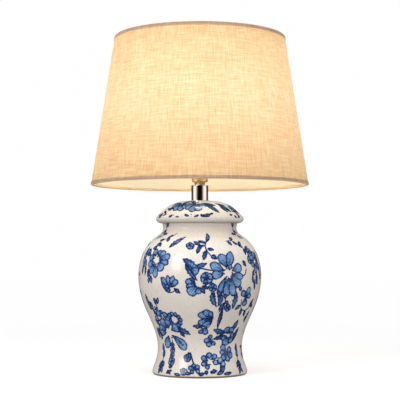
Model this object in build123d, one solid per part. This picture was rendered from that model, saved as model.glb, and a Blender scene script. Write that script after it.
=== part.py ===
from build123d import *

import os
from math import atan2, cos, degrees, hypot, pi, radians, sin, sqrt

# Ginger jar table lamp: a lidded ceramic jar on a hollow threaded rod, a metal neck, a screw
# lampholder with a turn switch, a bulb, and a tapered linen shade that a ring nut clamps on the
# lampholder.
#
# Millimetres. Z is up, the lamp's axis is the Z axis, and Z = 0 is the table it stands on.
# The front of the lamp faces -Y, and the cord's way out is in the foot at the back, +Y.

# ---- Jar ---------------------------------------------------------------------------------
felt_thickness = 1.2
felt_inset = 1.6  # of the felt's outer edge from the foot's widest radius
felt_ring_width = 8.4

foot_radius = 71.3
foot_height = 2.2  # of the foot's rounded edge, above its underside
foot_edge = 1.4  # the rounding's width
foot_ring_width = 11.3
base_recess = 13.0  # depth of the hollow under the jar's floor
floor_thickness = 6.0
waist_radius, waist_height = 63.2, 39.7
belly_radius, belly_height = 92.7, 146.0
shoulder_radius, shoulder_height = 67.0, 204.7  # where the shoulder turns hollow
shoulder_angle = 34.6  # of the shoulder there, above the horizontal
neck_radius, neck_height = 55.3, 218.3
rim_radius, rim_height = 56.5, 226.0
rim_round = 1.2
wall = 5.5
rod_hole_clearance = 0.75

cord_hole_radius, cord_hole_height = 4.2, 6.6  # the hole's axis is above the foot's underside
grommet_wall = 0.9
grommet_flange_radius, grommet_flange_thickness = 5.6, 0.9
grommet_gap = 0.05

# ---- Lid ---------------------------------------------------------------------------------
flange_radius, flange_rise = 66.2, 6.3  # the flange's widest point, above the jar's rim
brow_radius, brow_rise = 61.0, 14.0  # where the flange runs into the dome
lid_top_radius, lid_rise = 16.0, 34.2
lid_wall = 5.5
lip_depth = 8.0
lip_width = 4.5
lip_clearance = 1.0

# ---- Rod, nuts and washers ---------------------------------------------------------------
rod_radius = 5.0
rod_bore = 3.25
rod_tail = 1.7  # of the rod below the base nut
thread_gap = 0.05
nut_flats = 14.0
nut_height = 4.8
base_washer_radius = 19.0
rubber_radius = 17.0
rubber_thickness = 1.5
washer_thickness = 1.3

# ---- Neck --------------------------------------------------------------------------------
neck_tube_radius = 12.7
neck_tube_height = 23.2
neck_tube_wall = 0.9
neck_tube_edge = 0.5
centring_gap = 0.1

# ---- Lampholder --------------------------------------------------------------------------
hub_radius, hub_top_radius, hub_height = 6.9, 8.5, 5.5
hub_grip = 2.2  # of the rod above the hub
cup_radius = 12.0
cup_height = 5.0
cup_floor = 1.2
cup_edge = 1.0
cap_wall = 0.8
flare_height = 9.6
cap_rim_height = 4.0
set_screw_radius, set_screw_slot = 1.5, 0.6

shell_radius = 16.6
shell_wall = 0.5
shell_height = 36.5
bead_rise, bead_width = 17.3, 1.2
bead_radius = 17.8
fit_gap = 0.05
liner_wall = 0.5
liner_short = 1.0

switch_body_height = 14.5
holder_body_height = 24.0
holder_floor = 2.0
screw_shell_radius = 13.95
screw_shell_wall = 0.5
screw_shell_short = 0.5
rivet_radius = 1.2
rivet_head_radius, rivet_head_height = 2.0, 0.7
rivet_x, rivet_y = -8.6, 5.6

terminal_flat = 12.6
terminal_head_radius, terminal_head_height = 3.2, 1.6
terminal_shank_radius, terminal_shank_length = 1.6, 5.5
terminal_pocket_width = 9.0
terminal_slot_width, terminal_slot_depth = 0.8, 0.7

contact_width, contact_length, contact_sheet = 5.0, 9.0, 0.4
contact_rise = 2.6
contact_bend = 0.45  # share of the tongue's free half where its slope ends

# ---- Turn switch -------------------------------------------------------------------------
shaft_radius = 2.0
shaft_rise = 8.0  # of the shaft's axis above the seat in the cap
shaft_clearance, shaft_hole_gap = 0.3, 0.9
rotor_side, rotor_length, rotor_edge = 6.2, 7.0, 1.0
rotor_pocket = 5.5  # half the pocket's width
rotor_play = 0.6
shaft_tail = 2.5  # of the shaft behind the cam and its play
knob_radius, knob_length = 5.4, 13.0
knob_gap = 1.6  # between the lampholder's shell and the knob
knob_edge = 1.2
knob_flutes, flute_radius, flute_start = 10, 0.9, 1.5
knob_shaft_depth = 10.5

# ---- Shade clamp -------------------------------------------------------------------------
skirt_radius = 19.4
skirt_height = 30.0
collar_radius, collar_thickness, collar_rise = 23.5, 3.0, 3.0
clamp_gap = 0.2  # between each two of collar, fitter ring, washer and nut
fitter_radius, fitter_thickness = 31.0, 1.2
fitter_clearance = 0.4
washer_ring_radius, washer_ring_thickness = 24.5, 0.8
ring_nut_radius, ring_nut_height = 25.5, 6.0
ring_nut_clearance = 0.25
knurls, knurl_radius = 36, 0.8

# ---- Bulb --------------------------------------------------------------------------------
contact_gap = 0.3
tip_radius, tip_height = 4.2, 1.8
insulator_radius, insulator_height = 10.2, 4.0
bulb_cap_radius, bulb_cap_height, bulb_cap_wall = 13.1, 21.0, 0.4
bulb_radius = 30.0
bulb_length = 107.0  # tip to crown
bulb_neck_radius = 13.6
glass = 0.8
crimp_overlap = 3.0
stem_radius, stem_height = 4.0, 34.0
stem_flare_thickness = 1.5
stem_flare_round, stem_flare_height = 1.0, 14.0
lead_radius, lead_rise, lead_spread = 0.5, 14.0, 10.0
filament_radius, filament_rise, filament_gap = 0.45, 4.0, 0.6

# ---- Shade -------------------------------------------------------------------------------
shade_lift = -0.3  # of the shade's lower edge, from the top of the neck tube
shade_bottom_radius = 165.0
shade_top_radius = 130.0
shade_height = 226.0
linen = 0.7
backing = 0.4
glue = 0.05
trim = 0.4
trim_height = 6.0
trim_inner_height = 8.0
trim_round = 1.0
wire_diameter = 3.0
spoke_diameter = 2.8
spoke_count = 3
spoke_first_angle = 90.0
spoke_foot = 3.6  # of each spoke that is welded flat on the fitter ring
spoke_flat = 0.4  # how deep the weld flattens it
spoke_shelf = 8.0  # from the fitter ring's edge to the bend
spoke_bend = 12.0
spoke_slit_gap = 0.15

# ---- Levels, worked out from the sizes above ---------------------------------------------
foot_z = felt_thickness
cord_hole_z = foot_z + cord_hole_height
floor_under_z = foot_z + base_recess
floor_top_z = floor_under_z + floor_thickness
lid_top_z = rim_height + lid_rise
neck_top_z = lid_top_z + neck_tube_height
cup_z = neck_top_z + hub_height
seat_z = cup_z + cup_height + flare_height  # the ledge that carries the shell and the insides
shaft_z = seat_z + shaft_rise
holder_z = seat_z + switch_body_height
holder_floor_z = holder_z + holder_floor
bead_z = seat_z + bead_rise
skirt_z = bead_z + bead_width
collar_top_z = skirt_z + collar_rise + collar_thickness
fitter_z = collar_top_z + clamp_gap
fitter_top_z = fitter_z + fitter_thickness
washer_ring_z = fitter_top_z + clamp_gap
ring_nut_z = washer_ring_z + washer_ring_thickness + clamp_gap
tip_z = holder_floor_z + contact_rise + contact_gap
insulator_z = tip_z + tip_height
bulb_cap_z = insulator_z + insulator_height / 2
bulb_neck_z = bulb_cap_z + bulb_cap_height
shade_z = neck_top_z + shade_lift
shade_top_z = shade_z + shade_height
shade_taper = (shade_bottom_radius - shade_top_radius) / shade_height

foot_inner_radius = foot_radius - foot_ring_width
mouth_radius = rim_radius - wall - 1.5
lip_radius = mouth_radius - lip_clearance
rod_hole_radius = rod_radius + rod_hole_clearance
bore_on_rod = rod_radius + thread_gap
shell_bore = shell_radius - shell_wall
liner_radius = shell_bore - fit_gap
body_radius = liner_radius - liner_wall - fit_gap
skirt_bore = shell_radius + fit_gap


# ---- Shapes that repeat ------------------------------------------------------------------
def at(radius, height):
    """A point of a turned outline: its radius and its height."""
    return Vector(radius, 0, height)


def path(*points):
    """Straight edges from point to point of a turned outline."""
    return Polyline(*[at(r, z) for r, z in points])


def sweep_curve(*points):
    """A smooth curve of a turned outline, from the first point to the last."""
    return Bezier(*[at(r, z) for r, z in points])


def spun(*edges):
    """The solid that a closed outline makes when it is spun round the lamp's axis."""
    outline = [edge for part in edges for edge in part.edges()]
    return revolve(Face(Wire(outline)), Axis.Z, 360)


def tube(outer, inner, low, high):
    """A plain ring or sleeve round the lamp's axis."""
    return spun(path((inner, low), (outer, low), (outer, high), (inner, high), (inner, low)))


def rod_along_x(radius, start, end, height):
    """A round bar along X, at a height on the lamp's axis."""
    return Pos(start, 0, height) * (Rot(0, 90, 0) * extrude(Circle(radius), end - start))


def rod_along_y(radius, start, end, height, x=0.0):
    """A round bar along Y, at a height."""
    return Pos(x, start, height) * (Rot(-90, 0, 0) * extrude(Circle(radius), end - start))


def block(low, high):
    """A box between two corners."""
    size = [b - a for a, b in zip(low, high)]
    return Pos(*low) * Box(*size, align=(Align.MIN, Align.MIN, Align.MIN))


def hex_nut(low):
    """A hexagon nut on the rod, with its underside at a height."""
    corner = nut_flats / sqrt(3)
    nut = Pos(0, 0, low) * extrude(RegularPolygon(corner, 6), nut_height)
    bevel = corner - nut_flats / 2
    trimmed = nut & spun(
        path(
            (0, low),
            (nut_flats / 2, low),
            (corner, low + bevel),
            (corner, low + nut_height - bevel),
            (nut_flats / 2, low + nut_height),
            (0, low + nut_height),
            (0, low),
        )
    )
    return trimmed - tube(bore_on_rod, 0, low, low + nut_height)


# ---- Jar and lid -------------------------------------------------------------------------
def cord_hole(radius):
    """A bar along the cord's way out through the back of the foot."""
    return rod_along_y(radius, foot_inner_radius - 5, foot_radius + 5, cord_hole_z)


def shoulder_points(inset):
    """Control points of the belly's upper curve and of the hollow under the neck."""
    run, rise = cos(radians(shoulder_angle)), sin(radians(shoulder_angle))
    turn = (shoulder_radius - inset, shoulder_height)
    belly = [
        (belly_radius - inset, belly_height),
        (belly_radius - inset, belly_height + 30),
        (turn[0] + 16 * run, turn[1] - 16 * rise),
        turn,
    ]
    hollow = [
        turn,
        (turn[0] - 9 * run, turn[1] + 9 * rise),
        (neck_radius - inset, neck_height - 5),
        (neck_radius - inset, neck_height),
    ]
    return belly, hollow


def waist_points(inset, low):
    """Control points of the curve from the foot to the waist."""
    rise = waist_height - low
    return [
        (foot_radius - inset, low),
        (foot_radius - inset, low + 0.2 * rise),
        (waist_radius - inset, waist_height - 0.49 * rise),
        (waist_radius - inset, waist_height),
    ]


def flank_points(inset):
    """Control points of the curve from the waist to the belly."""
    return [
        (waist_radius - inset, waist_height),
        (waist_radius - inset, waist_height + 35),
        (belly_radius - inset, belly_height - 45),
        (belly_radius - inset, belly_height),
    ]


def jar():
    """The thrown jar: foot ring, waist, belly, shoulder, short neck and a flat rim."""
    edge_z = foot_z + foot_height
    round_z = rim_height - rim_round
    belly, hollow = shoulder_points(0)
    outside = [
        path((foot_inner_radius, foot_z), (foot_radius - foot_edge, foot_z)),
        sweep_curve((foot_radius - foot_edge, foot_z), (foot_radius, foot_z), (foot_radius, edge_z)),
        sweep_curve(*waist_points(0, edge_z)),
        sweep_curve(*flank_points(0)),
        sweep_curve(*belly),
        sweep_curve(*hollow),
        sweep_curve((neck_radius, neck_height), (neck_radius, neck_height + 3), (rim_radius, round_z)),
        sweep_curve((rim_radius, round_z), (rim_radius, rim_height), (rim_radius - rim_round, rim_height)),
    ]
    belly_in, hollow_in = shoulder_points(wall)
    inside = [
        path((rim_radius - rim_round, rim_height), (mouth_radius, rim_height), (mouth_radius, neck_height)),
        path((mouth_radius, neck_height), hollow_in[-1]),
        sweep_curve(*hollow_in),
        sweep_curve(*belly_in),
        sweep_curve(*flank_points(wall)),
        path(flank_points(wall)[0], (waist_radius - wall, floor_top_z + wall)),
        sweep_curve(
            (waist_radius - wall, floor_top_z + wall),
            (waist_radius - wall, floor_top_z),
            (waist_radius - 2 * wall, floor_top_z),
        ),
        path(
            (waist_radius - 2 * wall, floor_top_z),
            (rod_hole_radius, floor_top_z),
            (rod_hole_radius, floor_under_z),
            (foot_inner_radius, floor_under_z),
            (foot_inner_radius, foot_z),
        ),
    ]
    if abs(mouth_radius - hollow_in[-1][0]) < 1e-6:
        del inside[1]
    return spun(*outside, *inside) - cord_hole(cord_hole_radius)


def foot_felt():
    """A felt ring under the foot."""
    outer = foot_radius - felt_inset
    return tube(outer, outer - felt_ring_width, 0, felt_thickness)


def cord_grommet():
    """The rubber bush in the cord's hole, with a flange that follows the foot on each side."""
    edge_z = foot_z + foot_height
    waist = waist_points(-grommet_flange_thickness, edge_z)
    inner = foot_inner_radius - grommet_flange_thickness
    skin = spun(
        path((inner, foot_z), (foot_radius, foot_z), waist[0]),
        sweep_curve(*waist),
        path(waist[-1], (inner, waist_height), (inner, foot_z)),
    )
    foot = spun(
        path((foot_inner_radius, 0), (foot_radius, 0), waist_points(0, edge_z)[0]),
        sweep_curve(*waist_points(0, edge_z)),
        path(waist_points(0, edge_z)[-1], (foot_inner_radius, waist_height), (foot_inner_radius, 0)),
    )
    flanges = (cord_hole(grommet_flange_radius) & skin) - foot
    sleeve = cord_hole(cord_hole_radius - grommet_gap) & skin
    return flanges + sleeve - cord_hole(cord_hole_radius - grommet_gap - grommet_wall)


def lid():
    """The domed lid, with a rolled flange over the jar's rim and a lip inside its mouth."""
    seat = (rim_radius + 0.3, rim_height)
    flange = (flange_radius, rim_height + flange_rise)
    brow = (brow_radius, rim_height + brow_rise)
    top = (lid_top_radius, lid_top_z)
    under_top = (lid_top_radius, lid_top_z - lid_wall)
    inner = lip_radius - lip_width
    inside_brow = (inner, brow[1])
    return spun(
        path((lip_radius, rim_height), seat),
        sweep_curve(seat, (seat[0] + 5.7, seat[1] + 0.3), (flange[0], flange[1] - 3.7), flange),
        sweep_curve(flange, (flange[0], flange[1] + 3.1), (brow[0] + 2.6, brow[1] - 2.3), brow),
        sweep_curve(brow, (brow[0] - 8.5, brow[1] + 8.2), (top[0] + 30, top[1] - 2), top),
        path(top, (rod_hole_radius, top[1]), (rod_hole_radius, under_top[1]), under_top),
        sweep_curve(under_top, (inner - 8, under_top[1]), (inner, brow[1] + 8), inside_brow),
        path(inside_brow, (inner, rim_height - lip_depth), (lip_radius, rim_height - lip_depth)),
        path((lip_radius, rim_height - lip_depth), (lip_radius, rim_height)),
    )


# ---- What clamps the jar, the lid and the neck -------------------------------------------
def threaded_rod():
    """The hollow rod that the cord runs up, from under the base nut into the lampholder."""
    nut_low = floor_under_z - rubber_thickness - washer_thickness - nut_height
    low, high = nut_low - rod_tail, cup_z + cup_floor + hub_grip
    chamfer = 0.6
    return spun(
        path(
            (rod_bore, low),
            (rod_radius - chamfer, low),
            (rod_radius, low + chamfer),
            (rod_radius, high - chamfer),
            (rod_radius - chamfer, high),
            (rod_bore, high),
            (rod_bore, low),
        )
    )


def neck_tube():
    """The bright neck: an upturned cup over the lid's nut, with a slightly rounded shoulder."""
    r, inner = neck_tube_radius, neck_tube_radius - neck_tube_wall
    top = neck_top_z
    return spun(
        path((inner, lid_top_z), (r, lid_top_z), (r, top - neck_tube_edge)),
        sweep_curve((r, top - neck_tube_edge), (r, top), (r - neck_tube_edge, top)),
        path(
            (r - neck_tube_edge, top),
            (bore_on_rod, top),
            (bore_on_rod, top - neck_tube_wall),
            (inner, top - neck_tube_wall),
            (inner, lid_top_z),
        ),
    )


# ---- Lampholder --------------------------------------------------------------------------
def socket_cap():
    """The lampholder's cap: a tapered hub on the rod, a small cup, and a bell that takes the shell."""
    bell_radius = skirt_bore + cap_wall
    cup_top = cup_z + cup_height
    rim_z = seat_z + cap_rim_height
    ledge_radius = body_radius - 1.5
    edge = cup_edge
    cap = spun(
        path((bore_on_rod, neck_top_z), (hub_radius, neck_top_z), (hub_top_radius, cup_z)),
        path((hub_top_radius, cup_z), (cup_radius - edge, cup_z)),
        sweep_curve((cup_radius - edge, cup_z), (cup_radius, cup_z), (cup_radius, cup_z + edge)),
        path((cup_radius, cup_z + edge), (cup_radius, cup_top)),
        sweep_curve(
            (cup_radius, cup_top),
            (cup_radius, cup_top + 0.4 * flare_height),
            (bell_radius, seat_z - 0.4 * flare_height),
            (bell_radius, seat_z),
        ),
        path(
            (bell_radius, seat_z),
            (bell_radius, rim_z),
            (skirt_bore, rim_z),
            (skirt_bore, seat_z),
            (ledge_radius, seat_z),
        ),
        sweep_curve(
            (ledge_radius, seat_z),
            (ledge_radius, seat_z - 0.3 * flare_height),
            (cup_radius - cap_wall, cup_top + 0.3 * flare_height),
            (cup_radius - cap_wall, cup_top),
        ),
        path(
            (cup_radius - cap_wall, cup_top),
            (cup_radius - cap_wall, cup_z + cup_floor),
            (bore_on_rod, cup_z + cup_floor),
            (bore_on_rod, neck_top_z),
        ),
    )
    hole = rod_along_y(set_screw_radius + fit_gap, 0, hub_top_radius + 1, neck_top_z + hub_height / 2)
    return cap - hole


def set_screw():
    """The headless screw at the back of the hub, which locks it on the rod."""
    z = neck_top_z + hub_height / 2
    screw = rod_along_y(set_screw_radius, bore_on_rod, hub_radius + 0.4, z)
    half, bottom = set_screw_slot / 2, hub_radius - set_screw_slot
    slot = block((-half, bottom, z - set_screw_radius), (half, hub_radius + 1, z + set_screw_radius))
    return screw - slot


def shaft_hole():
    """What the switch shaft's way out cuts away on the lampholder's +X side."""
    return rod_along_x(shaft_radius + shaft_hole_gap, rotor_length / 2, shell_radius + 1, shaft_z)


def socket_shell():
    """The drawn shell, with a bead that the threaded skirt stands on."""
    top = seat_z + shell_height
    shell = spun(
        path(
            (shell_bore, seat_z),
            (shell_radius, seat_z),
            (shell_radius, bead_z),
            (bead_radius, bead_z),
            (bead_radius, bead_z + bead_width),
            (shell_radius, bead_z + bead_width),
            (shell_radius, top),
            (shell_bore, top),
            (shell_bore, seat_z),
        )
    )
    return shell - shaft_hole()


def insulating_liner():
    """The fibre sleeve between the shell and the live parts."""
    top = seat_z + shell_height - liner_short
    return tube(liner_radius, liner_radius - liner_wall, seat_z, top) - shaft_hole()


def rivets(radius, low, high):
    """Bars at the two places where rivets hold the lampholder's halves together."""
    bar = Pos(0, 0, low) * extrude(Circle(radius), high - low)
    return [Pos(rivet_x, side * rivet_y, 0) * bar for side in (-1, 1)]


def switch_body():
    """The lower half of the lampholder's inside: the switch's pocket and the two terminals."""
    body = tube(body_radius, 0, seat_z, holder_z)
    half = rotor_length / 2 + rotor_play
    body -= block((-half, -rotor_pocket, shaft_z - rotor_pocket), (half, rotor_pocket, holder_z))
    body -= rod_along_x(shaft_radius + shaft_clearance, -half - 3, body_radius + 1, shaft_z)
    wide = terminal_pocket_width / 2
    for side in (-1, 1):
        near, far = sorted((side * terminal_flat, side * (body_radius + 1)))
        body -= block((-wide, near, shaft_z - wide), (wide, far, shaft_z + wide))
        inner, outer = sorted((side * (terminal_flat - terminal_shank_length), side * terminal_flat))
        body -= rod_along_y(terminal_shank_radius + fit_gap, inner, outer, shaft_z)
    for bar in rivets(rivet_radius + fit_gap, seat_z, holder_z):
        body -= bar
    return body


def holder_body():
    """The upper half of the inside: the cup that the screw shell sits in."""
    top = holder_z + holder_body_height
    body = tube(body_radius, 0, holder_z, holder_floor_z)
    body += tube(body_radius, screw_shell_radius + fit_gap, holder_floor_z, top)
    for bar in rivets(rivet_radius + fit_gap, holder_z, holder_floor_z):
        body -= bar
    return body


def body_rivets():
    """Two rivets with round heads, from the switch body's underside to the holder's floor."""
    found = []
    for shank in rivets(rivet_radius, seat_z, holder_floor_z + rivet_head_height):
        found.append(shank)
    heads = rivets(rivet_head_radius, holder_floor_z, holder_floor_z + rivet_head_height)
    return Compound(children=[shank + head for shank, head in zip(found, heads)])


def screw_shell():
    """The brass sleeve that the bulb screws into, which is also the outer contact."""
    top = holder_z + holder_body_height - screw_shell_short
    return tube(screw_shell_radius, screw_shell_radius - screw_shell_wall, holder_floor_z, top)


def centre_contact():
    """The sprung brass tongue under the bulb's tip: a foot, a slope and a flat end."""
    half = contact_length / 2
    z, t = holder_floor_z, contact_sheet
    outline = Polyline(
        (-half, z),
        (0, z),
        (half * contact_bend, z + contact_rise - t),
        (half, z + contact_rise - t),
        (half, z + contact_rise),
        (half * contact_bend - t / 2, z + contact_rise),
        (-t / 2, z + t),
        (-half, z + t),
        (-half, z),
    )
    side = Face(Wire([e.moved(Location((0, 0, 0), (90, 0, 0))) for e in outline.edges()]))
    strip = extrude(side, contact_width, dir=(0, 1, 0))
    return Pos(-contact_length / 4, -contact_width / 2, 0) * strip


def terminal_screws():
    """The two slotted screws that clamp the leads, one on each side of the switch body."""
    screws = []
    for side in (-1, 1):
        head_end = side * (terminal_flat + terminal_head_height)
        near, far = sorted((side * terminal_flat, head_end))
        head = rod_along_y(terminal_head_radius, near, far, shaft_z)
        inner, outer = sorted((side * (terminal_flat - terminal_shank_length), side * terminal_flat))
        shank = rod_along_y(terminal_shank_radius, inner, outer, shaft_z)
        low, high = sorted((head_end - side * terminal_slot_depth, head_end + side))
        half = terminal_slot_width / 2
        near_corner = (-terminal_head_radius, low, shaft_z - half)
        slot = block(near_corner, (terminal_head_radius, high, shaft_z + half))
        screws.append(head + shank - slot)
    return Compound(children=screws)


def socket_skirt():
    """The threaded skirt round the lampholder, with the collar that the shade stands on."""
    top = skirt_z + skirt_height
    collar_z = skirt_z + collar_rise
    return spun(
        path(
            (skirt_bore, skirt_z),
            (skirt_radius, skirt_z),
            (skirt_radius, collar_z),
            (collar_radius, collar_z),
            (collar_radius, collar_top_z),
            (skirt_radius, collar_top_z),
            (skirt_radius, top),
            (skirt_bore, top),
            (skirt_bore, skirt_z),
        )
    )


# ---- Turn switch -------------------------------------------------------------------------
def knob_start():
    """Where the knob begins along X."""
    return shell_radius + knob_gap


def switch_shaft():
    """The switch's shaft, with the square cam that opens and closes the contacts."""
    cam = extrude(RectangleRounded(rotor_side, rotor_side, rotor_edge), rotor_length)
    cam = Pos(-rotor_length / 2, 0, shaft_z) * (Rot(0, 90, 0) * cam)
    back = -rotor_length / 2 - rotor_play - shaft_tail
    return cam + rod_along_x(shaft_radius, back, knob_start() + knob_shaft_depth, shaft_z)


def switch_knob():
    """The fluted turn knob, bored for its shaft and rounded at its outer end."""
    x, r = knob_start(), knob_radius
    shoulder = (r, knob_length - knob_edge)
    face_edge = (r - knob_edge, knob_length)
    upright = spun(path((0, 0), (r, 0), shoulder, face_edge, (0, knob_length), (0, 0)))
    for i in range(knob_flutes):
        turn = 2 * pi * i / knob_flutes
        flute = Pos(r * cos(turn), r * sin(turn), flute_start) * extrude(Circle(flute_radius), knob_length)
        upright -= flute
    upright -= extrude(Circle(shaft_radius + fit_gap), knob_shaft_depth + fit_gap)
    return Pos(x, 0, shaft_z) * (Rot(0, 90, 0) * upright)


# ---- Shade clamp -------------------------------------------------------------------------
def ring_washer():
    """The thin washer between the shade's fitter ring and the ring nut."""
    inner = skirt_radius + fitter_clearance
    return tube(washer_ring_radius, inner, washer_ring_z, washer_ring_z + washer_ring_thickness)


def ring_nut():
    """The knurled ring nut that clamps the shade down on the collar."""
    low, high = ring_nut_z, ring_nut_z + ring_nut_height
    nut = tube(ring_nut_radius, skirt_radius + ring_nut_clearance, low, high)
    for i in range(knurls):
        turn = 2 * pi * i / knurls
        x, y = ring_nut_radius * cos(turn), ring_nut_radius * sin(turn)
        nut -= Pos(x, y, low) * extrude(Circle(knurl_radius), ring_nut_height)
    return nut


# ---- Bulb --------------------------------------------------------------------------------
def bulb_tip():
    """The rounded solder contact on the bulb's end."""
    return spun(
        sweep_curve((0, tip_z), (tip_radius * 0.8, tip_z), (tip_radius, insulator_z)),
        path((tip_radius, insulator_z), (0, insulator_z), (0, tip_z)),
    )


def bulb_insulator():
    """The black glass cone between the bulb's two contacts."""
    return spun(
        path(
            (0, insulator_z + clamp_gap),
            (tip_radius, insulator_z + clamp_gap),
            (insulator_radius, bulb_cap_z),
            (insulator_radius, insulator_z + insulator_height),
            (0, insulator_z + insulator_height),
            (0, insulator_z + clamp_gap),
        )
    )


def bulb_cap():
    """The bulb's metal screw cap: a sleeve on the insulator's edge, crimped round the glass."""
    r, inner = bulb_cap_radius, bulb_cap_radius - bulb_cap_wall
    z, taper = bulb_cap_z, 3.0
    floor = insulator_radius + fit_gap
    return spun(
        path(
            (floor, z),
            (floor + bulb_cap_wall, z),
            (r, z + taper),
            (r, bulb_neck_z),
            (inner, bulb_neck_z),
            (inner, z + taper),
            (floor, z + 2 * bulb_cap_wall),
            (floor, z),
        )
    )


def globe_curve(inset):
    """The bulb's outline from its neck to its crown, as two curves, inset by the glass."""
    crown = tip_z + bulb_length - inset
    r = bulb_radius - inset
    middle = tip_z + bulb_length - bulb_radius
    neck = bulb_neck_radius - inset
    lower = sweep_curve(
        (neck, bulb_neck_z + 1),
        (neck + 1, bulb_neck_z + 17),
        (r, middle - 22),
        (r, middle),
    )
    round_over = 0.5523 * r  # makes the curve a quarter of a circle
    upper = sweep_curve((r, middle), (r, middle + round_over), (round_over, crown), (0, crown))
    return lower, upper


def bulb_glass():
    """The frosted envelope, its neck held in the cap."""
    low = bulb_neck_z - crimp_overlap
    outer = bulb_cap_radius - bulb_cap_wall - fit_gap
    lower_out, upper_out = globe_curve(0)
    lower_in, upper_in = globe_curve(glass)
    crown = tip_z + bulb_length
    neck, sill = bulb_neck_radius, bulb_neck_z + fit_gap
    return spun(
        path((outer - glass, low), (outer, low), (outer, sill), (neck, sill), (neck, bulb_neck_z + 1)),
        lower_out,
        upper_out,
        path((0, crown), (0, crown - glass)),
        upper_in,
        lower_in,
        path((neck - glass, bulb_neck_z + 1), (outer - glass, sill), (outer - glass, low)),
    )


def bulb_stem():
    """The glass stem: a flared foot that closes the neck, and the post that holds the leads."""
    low = bulb_neck_z - crimp_overlap
    foot = bulb_cap_radius - bulb_cap_wall - glass - 2 * fit_gap
    top = low + stem_height
    return spun(
        path((0, low), (foot, low), (foot, low + stem_flare_thickness)),
        sweep_curve(
            (foot, low + stem_flare_thickness),
            (stem_radius + stem_flare_round, low + 2 * stem_flare_thickness),
            (stem_radius, low + stem_flare_height / 2 + stem_flare_round),
            (stem_radius, low + stem_flare_height),
        ),
        path((stem_radius, low + stem_flare_height), (stem_radius, top), (0, top), (0, low)),
    )


def lead_ends():
    """Where each lead leaves the stem and where it holds the filament."""
    foot_level = bulb_neck_z - crimp_overlap + stem_height
    head_level = foot_level + lead_rise
    return [((side * stem_radius / 2, foot_level), (side * lead_spread, head_level)) for side in (-1, 1)]


def bulb_leads():
    """The two nickel wires that carry the filament."""
    leads = []
    for (x0, z0), (x1, z1) in lead_ends():
        length, lean = hypot(x1 - x0, z1 - z0), degrees(atan2(x1 - x0, z1 - z0))
        wire = extrude(Circle(lead_radius), length)
        wire = Pos(x0, 0, z0) * (Rot(0, lean, 0) * wire)
        leads.append(wire - block((-9, -9, z0 - 9), (9, 9, z0)))
    return Compound(children=leads)


def bulb_filament():
    """The coiled filament, as one thin arched bar between the leads' ends."""
    (_, (x0, z0)), (_, (x1, _)) = lead_ends()
    low = z0 + filament_gap
    arch = ThreePointArc((x0, 0, low), ((x0 + x1) / 2, 0, low + filament_rise), (x1, 0, low))
    section = Plane(origin=arch @ 0, z_dir=arch % 0) * Circle(filament_radius)
    return sweep(section, path=arch)


# ---- Shade -------------------------------------------------------------------------------
def cloth_radius(z, inset=0.0):
    """The outer radius of the linen at a height, less an inset."""
    return shade_bottom_radius - trim - shade_taper * (z - shade_z) - inset


def cone_sleeve(inset, thickness, low, high):
    """A tapered sleeve that follows the shade's wall."""
    return spun(
        path(
            (cloth_radius(low, inset + thickness), low),
            (cloth_radius(low, inset), low),
            (cloth_radius(high, inset), high),
            (cloth_radius(high, inset + thickness), high),
            (cloth_radius(low, inset + thickness), low),
        )
    )


wall_low, wall_high = shade_z + trim + glue, shade_top_z - trim - glue
backing_inset = linen + glue
wire_inset = backing_inset + backing + glue + wire_diameter / 2
bottom_wire_z = wall_low + wire_diameter / 2
top_wire_z = wall_high - wire_diameter / 2


def shade_linen():
    """The linen, laminated on its backing."""
    return cone_sleeve(0, linen, wall_low, wall_high)


def shade_backing():
    """The stiff white sheet that carries the linen."""
    return cone_sleeve(backing_inset, backing, wall_low, wall_high)


def wire_ring(z):
    """A wire ring inside the shade's wall, at a height."""
    ring = Pos(cloth_radius(z, wire_inset), 0, z) * (Rot(90, 0, 0) * Circle(wire_diameter / 2))
    return revolve(ring, Axis.Z, 360)


def trim_strip(edge_z, up):
    """The tape folded over an edge of the shade: up is 1 at the bottom edge and -1 at the top.

    Its outer leg lies on the linen. Its inner leg goes round the wire ring and back to the wall.
    """
    def outline(t, lift):
        around_wire = wire_inset + wire_diameter / 2 + glue + t
        behind = backing_inset + backing + glue + t
        low = edge_z + up * (trim + lift - t)
        heights = [
            (-t - glue, edge_z + up * trim_height),
            (-t - glue, low),
            (around_wire, low),
            (around_wire, edge_z + up * (trim + glue + wire_diameter)),
            (behind, edge_z + up * trim_inner_height),
        ]
        return [(cloth_radius(z, inset), z) for inset, z in heights]

    outer = outline(trim, 0)
    inner = outline(0, 0)
    # The inner outline runs on past the strip's ends, so that cutting it leaves the fold open.
    past = edge_z + up * (trim_inner_height + 5)
    inner[0] = (cloth_radius(past, -glue), past)
    inner.append((cloth_radius(past, backing_inset + backing + glue), past))
    fold = spun(path(*outer, outer[0]))
    rounded = fillet(rim_edges(fold, outer[1], outer[2]), trim_round)
    return rounded - spun(path(*inner, inner[0]))


def rim_edges(solid, *corners):
    """The round edges of a turned solid at the given radii and heights."""
    found = []
    for r, z in corners:
        found += [
            e
            for e in solid.edges().filter_by(GeomType.CIRCLE)
            if abs(e.radius - r) < 0.01 and abs(e.arc_center.Z - z) < 0.01
        ]
    return found


def fitter_ring():
    """The stamped ring that sits on the lampholder's collar."""
    return tube(fitter_radius, skirt_radius + fitter_clearance, fitter_z, fitter_top_z)


def spoke_bars(radius):
    """Round bars on the spokes' lines, from the fitter ring to the top ring."""
    centre_z = fitter_top_z + spoke_diameter / 2 - spoke_flat
    line = FilletPolyline(
        at(fitter_radius - spoke_foot, centre_z),
        at(fitter_radius + spoke_shelf, centre_z),
        at(cloth_radius(top_wire_z, wire_inset), top_wire_z),
        radius=spoke_bend,
    )
    bar = sweep(Plane(origin=line @ 0, z_dir=line % 0) * Circle(radius), path=line)
    step = 360 / spoke_count
    return [Rot(0, 0, spoke_first_angle + i * step) * bar for i in range(spoke_count)]


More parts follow.
